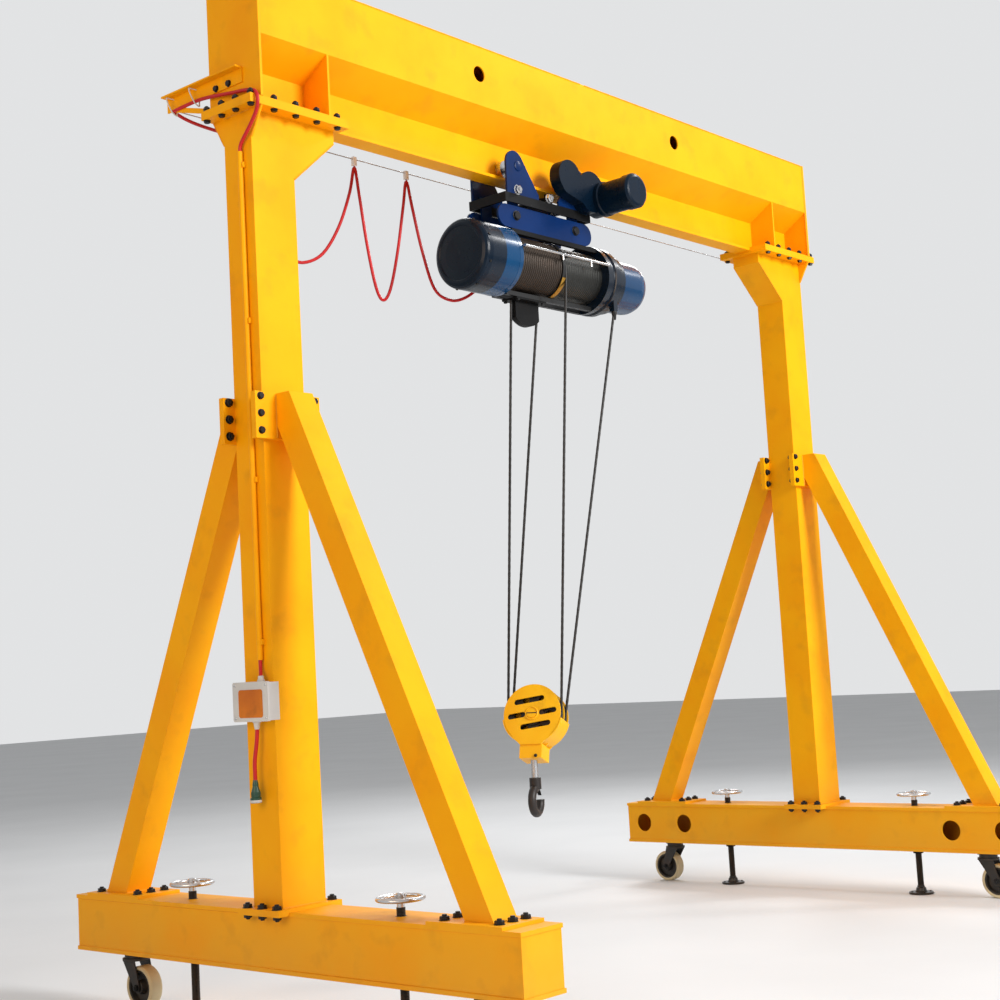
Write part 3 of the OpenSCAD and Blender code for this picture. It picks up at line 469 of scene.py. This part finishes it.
BLOCK_COAT = ((0.95, 0.51, 0.008), (0.90, 0.42, 0.005), 0.42, 0.0)
SOOT = (0.004, 0.004, 0.005)

MATS = {}


# A finish under its own name
def finish(name, *looks, **more):
    MATS[name] = surface(name, *looks, **more)


finish("portal_paint", YELLOW, specular=0.10, coat=0.02, dirt=0.12, dust=0.55)
finish("weld", ((0.86, 0.36, 0.003), (0.76, 0.28, 0.002), 0.5, 0.0), specular=0.2, grain=240.0,
       depth=0.0012)
finish("hoist_blue", BLUE, coat=0.05, specular=0.12, dirt=0.35, dirt_color=SOOT)
finish("frame_blue", BRIGHT, BLUE, {"axis": "absy", "at": 0.062}, coat=0.05, specular=0.12,
       dirt=0.3, dirt_color=SOOT)
# Suspension plates: the black below z 3.8532 is painted shade on the blue plates' lower parts; blue
# above
finish("plate_blue_painted_shade", BLACK, BLUE, {"axis": "z", "at": 3.8532}, coat=0.05, specular=0.12, dirt=0.3,
       dirt_color=SOOT)
finish("disc_blue", SEA, BLACK, {"axis": "x", "at": -0.6121}, coat=0.35, specular=0.3)
finish("gear_blue", NAVY, SEA, {"axis": "x", "at": 0.3185}, coat=0.45, specular=0.3, dirt=0.2,
       dirt_color=SOOT)
# Hoist motor: the dark navy towards its end, below x -0.745, is painted shade on the blue motor; the
# sea blue beyond is its paint
finish("motor_blue_painted_shade", NAVY, SEA, {"axis": "x", "at": -0.745}, coat=0.20, specular=0.2, dirt=0.15,
       dirt_color=SOOT)
# On the hoist motor's end cover this dark navy is painted shade
finish("hoist_navy", NAVY, coat=0.08, specular=0.14, dirt=0.15, dirt_color=SOOT)
finish("dark_metal", BLACK, coat=0.02, specular=0.14, dirt=0.3, dirt_color=(0.02, 0.012, 0.008))
finish("fork_metal", FORK, dirt=0.35, dirt_color=(0.11, 0.055, 0.025))
finish("guide_metal", BRIGHT, BLACK, {"axis": "y", "at": -0.186})
finish("jack_metal", OILY, BRIGHT, {"axis": "z", "at": 0.5712}, thread=0.006, dirt=0.3)
finish("hook_metal", ((0.035, 0.03, 0.028), (0.02, 0.017, 0.016), 0.45, 0.5), BRIGHT,
       {"axis": "z", "at": 0.941}, dirt=0.4)
finish("bright_steel", BRIGHT, dirt=0.15)
finish("wound_rope", ((0.050, 0.036, 0.026), (0.028, 0.020, 0.015), 0.5, 0.5), grain=420.0,
       depth=0.0012, dirt=0.3)
finish("fall_rope", ((0.030, 0.028, 0.027), (0.016, 0.015, 0.014), 0.45, 0.5), grain=300.0,
       depth=0.0008)
finish("drum_metal", ((0.040, 0.040, 0.036), (0.020, 0.020, 0.018), 0.42, 0.6), dirt=0.3,
       dirt_color=SOOT)
finish("block_paint", BLOCK_COAT, specular=0.22, coat=0.08, dirt=0.22,
       dirt_color=(0.30, 0.10, 0.010))
finish("cast_sheave", ((0.035, 0.033, 0.032), (0.02, 0.018, 0.017), 0.55, 0.6), dirt=0.4)
finish("cable_sheath", ((0.56, 0.012, 0.016), (0.42, 0.008, 0.010), 0.42, 0.0), specular=0.35)
finish("pale_plastic", ((0.66, 0.67, 0.66), (0.52, 0.53, 0.53), 0.4, 0.0), dirt=0.2)
finish("clip_plastic", ((0.90, 0.89, 0.87), (0.80, 0.78, 0.75), 0.4, 0.0))
finish("plug_plastic", ((0.016, 0.075, 0.045), (0.010, 0.050, 0.030), 0.36, 0.0))
finish("panel_orange", ((0.66, 0.19, 0.010), (0.40, 0.085, 0.006), 0.45, 0.0), specular=0.25,
       dirt=0.6, dirt_color=(0.16, 0.07, 0.02))
finish("brass", ((0.60, 0.34, 0.06), (0.42, 0.22, 0.04), 0.32, 1.0))
finish("bolt_black", ((0.016, 0.016, 0.017), (0.009, 0.009, 0.009), 0.4, 0.6))

NODE_MATS = {
    "trolley_frame": "frame_blue", "suspension_plates": "plate_blue_painted_shade", "hoist_housing": "disc_blue",
    "hoist_gearbox": "gear_blue", "hoist_motor": "motor_blue_painted_shade", "rope_guide": "guide_metal",
    "hook": "hook_metal",
    **{f"cable_clip_{k}": "clip_plastic" for k in range(1, 4)},
    **{f"jack_{k}": "jack_metal" for k in range(1, 5)},
    **{f"caster_fork_{k}": "fork_metal" for k in range(1, 5)},
}


# Every CAD node takes a material of its slot, with its own zones where it has two finishes, or a
# finish and painted shade
def dress_nodes():
    slots = {s["node"]: s["material_slot"] for s in frame["record"]["subparts"]}
    for name, obj in frame["nodes"].items():
        if name.startswith("caster_wheel"):
            low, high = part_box(name)
            center = ((low.y + high.y) / 2, (low.z + high.z) / 2)
            rule = {"axis": "radius", "center": center, "at": 0.0815}
            mat = surface(f"{name}_look", FORK, TREAD, rule, dirt=0.35, dirt_color=(0.16, 0.11, 0.06))
        else:
            mat = MATS[NODE_MATS.get(name) or slots[name]]
        if obj.type == "MESH":
            obj.data.materials.clear()
            obj.data.materials.append(mat)


# The hanging cable bends between portal and trolley
def hang_cable():
    path = smooth_path(CABLE_ROUTE, 6)
    bm = bmesh.new()
    sweep(bm, path, CABLE_R, 12)
    cable = make("cable_hanging", bm, MATS["cable_sheath"], 60)
    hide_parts("power_cable")
    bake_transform(cable)


# The lead from the control box to its plug
def hang_pigtail():
    path = smooth_path(PIGTAIL_ROUTE, 6)
    bm = bmesh.new()
    sweep(bm, path, LEAD_R, 12)
    lead = piece("supply_lead", bm, "cable_sheath", "portal", 60)
    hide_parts("supply_pigtail")


# A bolt with its nut and locknut through the two head plates
def head_bolt(bm, x, y):
    bolt(bm, (x, y, HEAD_TOP), Z, HEAD_BOLT)
    nut(bm, (x, y, HEAD_TOP + 0.0105), Z, HEAD_BOLT)
    bolt(bm, (x, y, HEAD_LOW), -Z, HEAD_BOLT)


# Bolts through the foot plates, head plates, brace flanges and cable brackets
def bolt_portal():
    bm = bmesh.new()
    for s in (-1, 1):
        x = s * LEG_X
        for dx in (-0.16, 0.16):
            for y in (-0.097, 0.0, 0.097):
                nut(bm, (x + dx, y, FOOT_TOP), Z, FOOT_BOLT)
                nut(bm, (x + dx, y, EAR_LOW), -Z, EAR_BOLT)
            for hand in (-1, 1):
                for z in (2.630, 2.707, 2.784):
                    bolt(bm, (x + dx, hand * 0.125, z), hand * Y, FLANGE_BOLT)
                    nut(bm, (x + dx, hand * COL_HALF_Y, z), -hand * Y, EAR_BOLT)
        for hand in (-1, 1):
            for dx in (-0.078, 0.0, 0.078):
                nut(bm, (x + dx, hand * 1.303, FOOT_TOP), Z, FOOT_BOLT)
                nut(bm, (x + dx, hand * 1.012, FOOT_TOP), Z, FOOT_BOLT)
            for across in (1.895, 2.025, 2.155, 2.285, 2.421):
                head_bolt(bm, s * across, hand * 0.156)
            head_bolt(bm, s * 2.421, hand * 0.050)
        for y in (0.032, 0.122):
            bolt(bm, (s * 2.388, y, 4.262), s * X, BRACKET_BOLT)
    piece("portal_bolts", bm, "bolt_black", "portal", 30)


# Weld beads along the portal's seams
def weld_portal():
    bm = bmesh.new()
    for s in (-1, 1):
        x = s * LEG_X
        bead_ring(bm, (x, 0, FOOT_TOP), COL_HALF_X, COL_HALF_Y)
        for hand in (-1, 1):
            bead_ring(bm, (x, hand * 1.190, FOOT_TOP), 0.070, 0.077)
            for dx in (-0.120, 0.120):
                for z in (BASE_LOW + 0.018, BASE_TOP - 0.018):
                    bead(bm, (x + dx, hand * 0.02, z), (x + dx, hand * 1.44, z), 0.0035)
            for dx in (-0.070, 0.070):
                bead(bm, (x + dx, hand * 0.125, 2.600), (x + dx, hand * 0.125, 2.795))
            bead(bm, (s * 2.125, hand * 0.095, 3.828), (s * 1.868, hand * 0.095, 4.050), 0.004)
            bead(bm, (s * 2.373, hand * 0.097, 3.985), (s * 2.373, hand * 0.168, 4.110), 0.004)
            bead(bm, (s * GIRDER_END, hand * GIRDER_HALF, HEAD_TOP),
                 (s * GIRDER_END, hand * GIRDER_HALF, 4.765))
            bead(bm, (s * 1.949, hand * 0.008, HEAD_TOP), (s * 1.949, hand * 0.170, HEAD_TOP))
            bead(bm, (s * 0.02, hand * GIRDER_HALF, GIRDER_TOP - 0.002),
                 (s * 2.360, hand * GIRDER_HALF, GIRDER_TOP - 0.002), 0.004)
            bead(bm, (s * 0.02, hand * 0.006, 4.149), (s * 1.82, hand * 0.006, 4.149), 0.004)
        for seam_x in (LEG_X - COL_HALF_X, LEG_X + COL_HALF_X):
            bead(bm, (s * seam_x, -0.09, HEAD_LOW), (s * seam_x, 0.09, HEAD_LOW))
    piece("portal_welds", bm, "weld", "portal", 60)


# The cable's fixed run, its ties and the glands
def fix_cables():
    bm = bmesh.new()
    for route in (FIXED_ROUTE, TAIL_ROUTE):
        sweep(bm, smooth_path(route, 5), CABLE_R, 10)
    piece("cable_fixed", bm, "cable_sheath", "portal", 60)
    bm = bmesh.new()
    for y in (0.262, 0.432):
        loop = [(-2.398, y, 4.227), (-2.409, y, 4.236), (-2.424, y + 0.006, 4.270),
                (-2.428, y + 0.010, 4.291), (-2.424, y + 0.010, 4.299), (-2.382, y + 0.006, 4.299),
                (-2.377, y + 0.004, 4.294), (-2.377, y, 4.226), (-2.381, y, 4.220),
                (-2.390, y, 4.222), (-2.398, y, 4.227)]
        sweep(bm, smooth_path(loop, 3), 0.0034, 6)
    lathe(bm, (-2.411, -0.054, 1.527), Z,
          [(0.017, 0), (0.017, 0.008), (0.013, 0.011), (0.013, 0.022), (0.0095, 0.026)], 12)
    lathe(bm, (-2.410, -0.014, 1.360), -Z,
          [(0.019, 0), (0.019, 0.009), (0.015, 0.012), (0.012, 0.034), (0.0098, 0.040)], 12)
    piece("cable_ties", bm, "pale_plastic", "portal", 40)
    bm = bmesh.new()
    lathe(bm, (-0.330, PLATE_Y - 0.001, 3.912), Y,
          [(0.019, -0.001), (0.019, 0.007), (0.014, 0.009), (0.012, 0.020), (0.0095, 0.026)], 12)
    piece("cable_gland", bm, "bolt_black", "trolley", 40)


# Lid screws and bare panel of the control box, and the plug's ribs and collar
def finish_box():
    bm = bmesh.new()
    for y in (-0.117, 0.089):
        for z in (1.370, 1.513):
            lathe(bm, (LID_X, y, z), -X,
                  [(0.0060, 0), (0.0060, 0.0008), (0.0048, 0.0016), (0, 0.0016)], 12)
    piece("box_screws", bm, "bright_steel", "portal", 40)
    bm = bmesh.new()
    corners = []
    for cy, cz, start in ((0.052, 1.482, 0), (-0.085, 1.482, 90), (-0.085, 1.384, 180),
                          (0.052, 1.384, 270)):
        for k in range(5):
            a = math.radians(start + 22.5 * k)
            corners.append((LID_X, cy + 0.012 * math.cos(a), cz + 0.012 * math.sin(a)))
    slab(bm, corners, -X, 0.0018, 0.0008)
    piece("box_panel", bm, "panel_orange", "portal", 40)
    bm = bmesh.new()
    low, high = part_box("supply_plug")
    mid = (low + high) / 2
    for k in range(14):
        a = 2 * math.pi * k / 14
        out = Vector((math.cos(a), math.sin(a), 0))
        foot = Vector((mid.x, mid.y, low.z)) + out * 0.0200
        sweep(bm, [foot + Z * 0.028, foot + Z * 0.046], 0.0014, 6)
    lathe(bm, (mid.x, mid.y, low.z + 0.075), Z, [(0.0135, 0), (0.0135, 0.006), (0.0095, 0.024)], 14)
    piece("plug_ribs", bm, "plug_plastic", "portal", 40)
    bm = bmesh.new()
    lathe(bm, (mid.x, mid.y, low.z + 0.0005), Z,
          [(0.0235, 0), (0.0255, 0.003), (0.0255, 0.012), (0.0245, 0.014)], 24)
    piece("plug_collar", bm, "pale_plastic", "portal", 40)


# Nuts on the caster axles, bolts of the swivel plates and fittings on the jacks
def finish_feet():
    lay = {1: -1, 2: -1, 3: 1, 4: -1}
    corner = {1: (-1, 1), 2: (-1, -1), 3: (1, 1), 4: (1, -1)}
    for k, (s, hand) in corner.items():
        bm = bmesh.new()
        y = hand * CASTER_Y + lay[k] * TRAIL
        for side in (-1, 1):
            nut(bm, (s * LEG_X + side * 0.047, y, 0.100), side * X, 0.0165)
        for turn in range(8):
            a = math.radians(22.5 + 45 * turn)
            place = (s * LEG_X + 0.0595 * math.cos(a), hand * CASTER_Y + 0.0595 * math.sin(a),
                     BASE_LOW - 0.012)
            lathe(bm, place, -Z, [(0.0042, 0), (0.0042, 0.005), (0.0034, 0.006), (0, 0.006)], 6)
        piece(f"caster_nuts_{k}", bm, "bolt_black", f"caster_fork_{k}", 30)
        bm = bmesh.new()
        center = (s * LEG_X, hand * JACK_Y, 0.0)
        lathe(bm, (center[0], center[1], 0.620), Z,
              [(0.021, 0), (0.021, 0.004), (0.016, 0.009), (0.006, 0.011), (0, 0.011)], 20)
        piece(f"jack_cap_{k}", bm, "bright_steel", f"jack_{k}", 30)
        bm = bmesh.new()
        lathe(bm, (center[0], center[1], 0.0405), Z,
              [(0.0235, 0), (0.0235, 0.004), (0.0200, 0.010)], 20)
        for turn in range(4):
            a = math.radians(45 + 90 * turn)
            place = (center[0] + 0.058 * math.cos(a), center[1] + 0.058 * math.sin(a), 0.0118)
            lathe(bm, place, Z, [(0.0065, 0), (0.0065, 0.003), (0.0050, 0.005), (0, 0.005)], 6)
        piece(f"jack_seat_{k}", bm, "fork_metal", f"jack_{k}", 30)


# Pins, nuts, screws and caps of the trolley and hoist, the guide's shoe and the rope's socket
def finish_hoist():
    bm = bmesh.new()
    for hand in (-1, 1):
        for x in PIN_X:
            lathe(bm, (x, hand * 0.116, PIN_Z), hand * Y,
                  [(0.027, 0), (0.027, 0.003), (0.023, 0.004), (0.023, 0.013), (0.019, 0.016),
                   (0, 0.016)], 24)
    for k in range(8):
        a = math.radians(22.5 + 45 * k)
        out = Vector((0, math.cos(a), math.sin(a)))
        lathe(bm, Vector((-0.866, 0, DRUM_Z)) + out * 0.1872, out,
              [(0.008, 0), (0.008, 0.004), (0.006, 0.006), (0, 0.006)], 6)
    for k in range(12):
        a = math.radians(15 + 30 * k)
        lathe(bm, (0.2485, 0.179 * math.cos(a), DRUM_Z + 0.179 * math.sin(a)), X,
              [(0.0065, 0), (0.0065, 0.009), (0.0052, 0.011), (0, 0.011)], 6)
    for x, y in ((-0.51, 0.046), (-0.51, -0.046), (-0.304, 0.046), (-0.304, -0.046)):
        bolt(bm, (x, y, 3.4935), -Z, 0.011)
    piece("hoist_pins", bm, "bolt_black", "trolley", 30)
    bm = bmesh.new()
    for hand in (-1, 1):
        for x in (TROLLEY_X - 0.263, TROLLEY_X, TROLLEY_X + 0.263):
            nut(bm, (x, hand * (PLATE_Y - 0.0005), ROD_Z), hand * Y, 0.026)
    piece("trolley_nuts", bm, "bright_steel", "trolley", 30)
    bm = bmesh.new()
    for hand in (-1, 1):
        for x in (TROLLEY_X - 0.247, TROLLEY_X + 0.247):
            if hand > 0 or x < -0.4:
                lathe(bm, (x, hand * PLATE_Y, 4.1983), hand * Y,
                      [(0.028, -0.001), (0.028, 0.003), (0.024, 0.005), (0, 0.005)], 24)
    piece("axle_caps", bm, "hoist_blue", "trolley", 30)
    bm = bmesh.new()
    shoe = ((0.1628, -0.250), (0.1628, -0.224), (0.1680, -0.221), (0.1705, -0.237), (0.1680, -0.253))
    rows = []
    for k in range(13):
        a = math.radians(203 + 4.4 * k)
        out = Vector((0, math.cos(a), math.sin(a)))
        mid = Vector((0, 0, DRUM_Z))
        rows.append([bm.verts.new(mid + out * r + X * x) for r, x in shoe])
    for low, high in zip(rows, rows[1:]):
        for k in range(len(shoe)):
            j = (k + 1) % len(shoe)
            bm.faces.new((low[k], low[j], high[j], high[k]))
    bm.faces.new(rows[0][::-1])
    bm.faces.new(rows[-1])
    piece("guide_shoe", bm, "brass", "trolley", 40)
    bm = bmesh.new()
    lathe(bm, (0.225, -0.130, 3.502), -Z,
          [(0.015, -0.004), (0.015, 0.010), (0.012, 0.026), (0.0098, 0.044), (0.0088, 0.047)], 16)
    piece("rope_socket", bm, "bolt_black", "trolley", 40)


# Drum with rope wound on one end and bare grooves on the other
def wind_drum():
    pitch = 2 * ROPE_R + 0.0006
    profile = [(0, 0), (BARE_R - 0.003, 0), (BARE_R - 0.003, WOUND_X - DRUM_X0)]
    x = WOUND_X - DRUM_X0
    while x < DRUM_X1 - DRUM_X0 - pitch - 0.02:
        profile += [(BARE_R, x + 0.002), (BARE_R - 0.0011, x + 0.0050),
                    (BARE_R - 0.0016, x + 0.0080), (BARE_R - 0.0011, x + 0.0110),
                    (BARE_R, x + pitch - 0.0015)]
        x += pitch
    profile += [(BARE_R, x + 0.002), (BARE_R, DRUM_X1 - DRUM_X0), (0, DRUM_X1 - DRUM_X0)]
    bm = bmesh.new()
    lathe(bm, (DRUM_X0, 0, DRUM_Z), X, profile, 72)
    core = piece("drum_core", bm, "drum_metal", "drum", 30)
    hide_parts("drum")
    turns = (WOUND_X - DRUM_X0 - 0.018) / pitch
    steps = 44
    path = []
    r = WOUND_R - ROPE_R
    for k in range(round(turns * steps) + 1):
        a = 2 * math.pi * k / steps
        x = DRUM_X0 + 0.009 + pitch * k / steps
        path.append(Vector((x, r * math.cos(a), DRUM_Z + r * math.sin(a))))
    bm = bmesh.new()
    sweep(bm, path, ROPE_R, 8)
    piece("drum_rope", bm, "wound_rope", "drum", 60)


# A point of the leaning block, from its place in the block's own frame
def block_point(x, y, z):
    turn = Matrix.Rotation(BLOCK_TURN, 3, "Z") @ Matrix.Rotation(-BLOCK_LEAN, 3, "X")
    return BLOCK + turn @ Vector((x, y, z))


# A direction of the leaning block
def block_axis(x, y, z):
    return (block_point(x, y, z) - BLOCK).normalized()


# Where a fall that leans by an angle comes onto its sheave
def fall_end(s, y, lean):
    a = math.radians(lean)
    return block_point(s * SHEAVE_R * math.cos(a) + FALL_LEAD * math.sin(a), y,
                       FALL_LEAD * math.cos(a) - s * SHEAVE_R * math.sin(a))


# Laid wire ropes between hoist and block
def hang_falls():
    guard_z = 3.4927
    falls = [
        ((-0.517, 0, guard_z), fall_end(-1, -FALL_SIDE, 5.8)),
        ((-0.297, 0, guard_z), fall_end(-1, FALL_SIDE, 7.7)),
        ((-0.216, -0.153, DRUM_Z), fall_end(1, -FALL_SIDE, 3.8)),
        ((0.225, -0.130, 3.501), fall_end(1, FALL_SIDE, 7.4)),
    ]
    bm = bmesh.new()
    for top, low in falls:
        sweep(bm, straight(Vector(top), low, 0.009), ROPE_R, 12, lobe=0.07, twist=math.radians(13))
    ropes = make("rope_strands", bm, MATS["fall_rope"], 60)
    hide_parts("rope_falls")
    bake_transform(ropes)


# Hubs, slot line and neck bolts of the block, and the hook's latch
def finish_block():
    bm = bmesh.new()
    front = block_axis(0, -1, 0)
    for side, out in ((-0.070, front), (0.070, -front)):
        lathe(bm, block_point(0, side, 0), out,
              [(0.037, -0.001), (0.037, 0.004), (0.034, 0.0065), (0.031, 0.0065), (0.028, 0.003),
               (0.021, 0.003), (0.019, 0.006), (0.012, 0.0075), (0, 0.0075)], 32)
    piece("block_hubs", bm, "block_paint", "block", 30)
    bm = bmesh.new()
    rim = ((-0.028, -0.003), (0.028, -0.003), (0.028, 0.003), (-0.028, 0.003))
    slab(bm, [block_point(x, -0.0755, z) for x, z in rim], front, 0.0026, 0.0008)
    for side, out in ((-0.062, front), (0.062, -front)):
        bolt(bm, block_point(0.030, side, -0.228), out, 0.009)
    piece("block_bolts", bm, "bolt_black", "block", 30)
    neck = block_point(0, 0, -NECK_DROP)
    bowl_z = neck.z - 0.209
    turn = BLOCK_TURN + math.radians(90)
    along = Vector((math.cos(turn), math.sin(turn), 0))
    wide = Vector((-math.sin(turn), math.cos(turn), 0))
    center = Vector((neck.x, neck.y, bowl_z))
    bm = bmesh.new()
    top = center + along * 0.026 + Z * 0.062
    tip = center + along * 0.060 + Z * 0.022
    across = (tip - top).normalized().cross(wide)
    corners = [top - wide * 0.013, top + wide * 0.013, tip + wide * 0.009, tip - wide * 0.009]
    slab(bm, corners, across, 0.003, 0.0008)
    lathe(bm, top - wide * 0.017, wide, [(0.006, 0), (0.006, 0.034)], 12)
    piece("hook_latch", bm, "bolt_black", "hook", 30)


# Pale floor and backdrop in soft light
def light_stage():
    world = bpy.data.worlds.new("studio")
    bpy.context.scene.world = world
    world.use_nodes = True
    nodes = world.node_tree.nodes
    links = world.node_tree.links
    shade = nodes["Background"]
    shade.inputs["Color"].default_value = (0.94, 0.95, 0.96, 1)
    rays = nodes.new("ShaderNodeLightPath")
    mirrored = math_node(nodes, links, "MAXIMUM", rays.outputs["Is Glossy Ray"],
                         rays.outputs["Is Transmission Ray"])
    seen = math_node(nodes, links, "MAXIMUM", rays.outputs["Is Camera Ray"], mirrored)
    links.new(math_node(nodes, links, "MULTIPLY_ADD", seen, 0.47, 0.34), shade.inputs["Strength"])
    mat, nodes, links, bsdf, coord = shader("studio_floor")
    cloud = noise(nodes, links, 0.8, 4.0, coord)
    pale = ramp(nodes, links, cloud, [(0.3, (0.74, 0.75, 0.76)), (0.7, (0.78, 0.79, 0.80))])
    links.new(pale, bsdf.inputs["Base Color"])
    bsdf.inputs["Roughness"].default_value = 0.7
    bm = bmesh.new()
    half = 40.0
    bm.faces.new([bm.verts.new((x, y, -0.001)) for x, y in
                  ((-half, -half), (half, -half), (half, half), (-half, half))])
    make("studio_floor", bm, mat)
    add_lamp("key", (0.6, -11.4, 7.0), 5.0, 1600)
    add_lamp("fill", (-11.0, -2.0, 4.5), 6.0, 310, (1.0, 0.74, 0.52))
    add_lamp("rim", (7.0, 5.0, 8.0), 5.0, 420)
    add_lamp("glint", (6.5, -3.3, 8.8), 1.2, 130)


# A round lamp turned to the middle of the crane
def add_lamp(name, place, size, power, tint=(1.0, 1.0, 1.0)):
    lamp = bpy.data.lights.new(name, "AREA")
    lamp.shape = "DISK"
    lamp.size = size
    lamp.energy = power
    lamp.color = tint
    obj = bpy.data.objects.new(name, lamp)
    bpy.context.scene.collection.objects.link(obj)
    obj.location = place
    aim = Vector((0, 0, 2.2)) - Vector(place)
    obj.rotation_euler = aim.to_track_quat("-Z", "Y").to_euler()


place_camera()
hang_cable()
hang_pigtail()
dress_nodes()
bolt_portal()
weld_portal()
fix_cables()
finish_box()
finish_feet()
finish_hoist()
wind_drum()
hang_falls()
finish_block()
light_stage()
bpy.context.scene.view_settings.view_transform = "Standard"
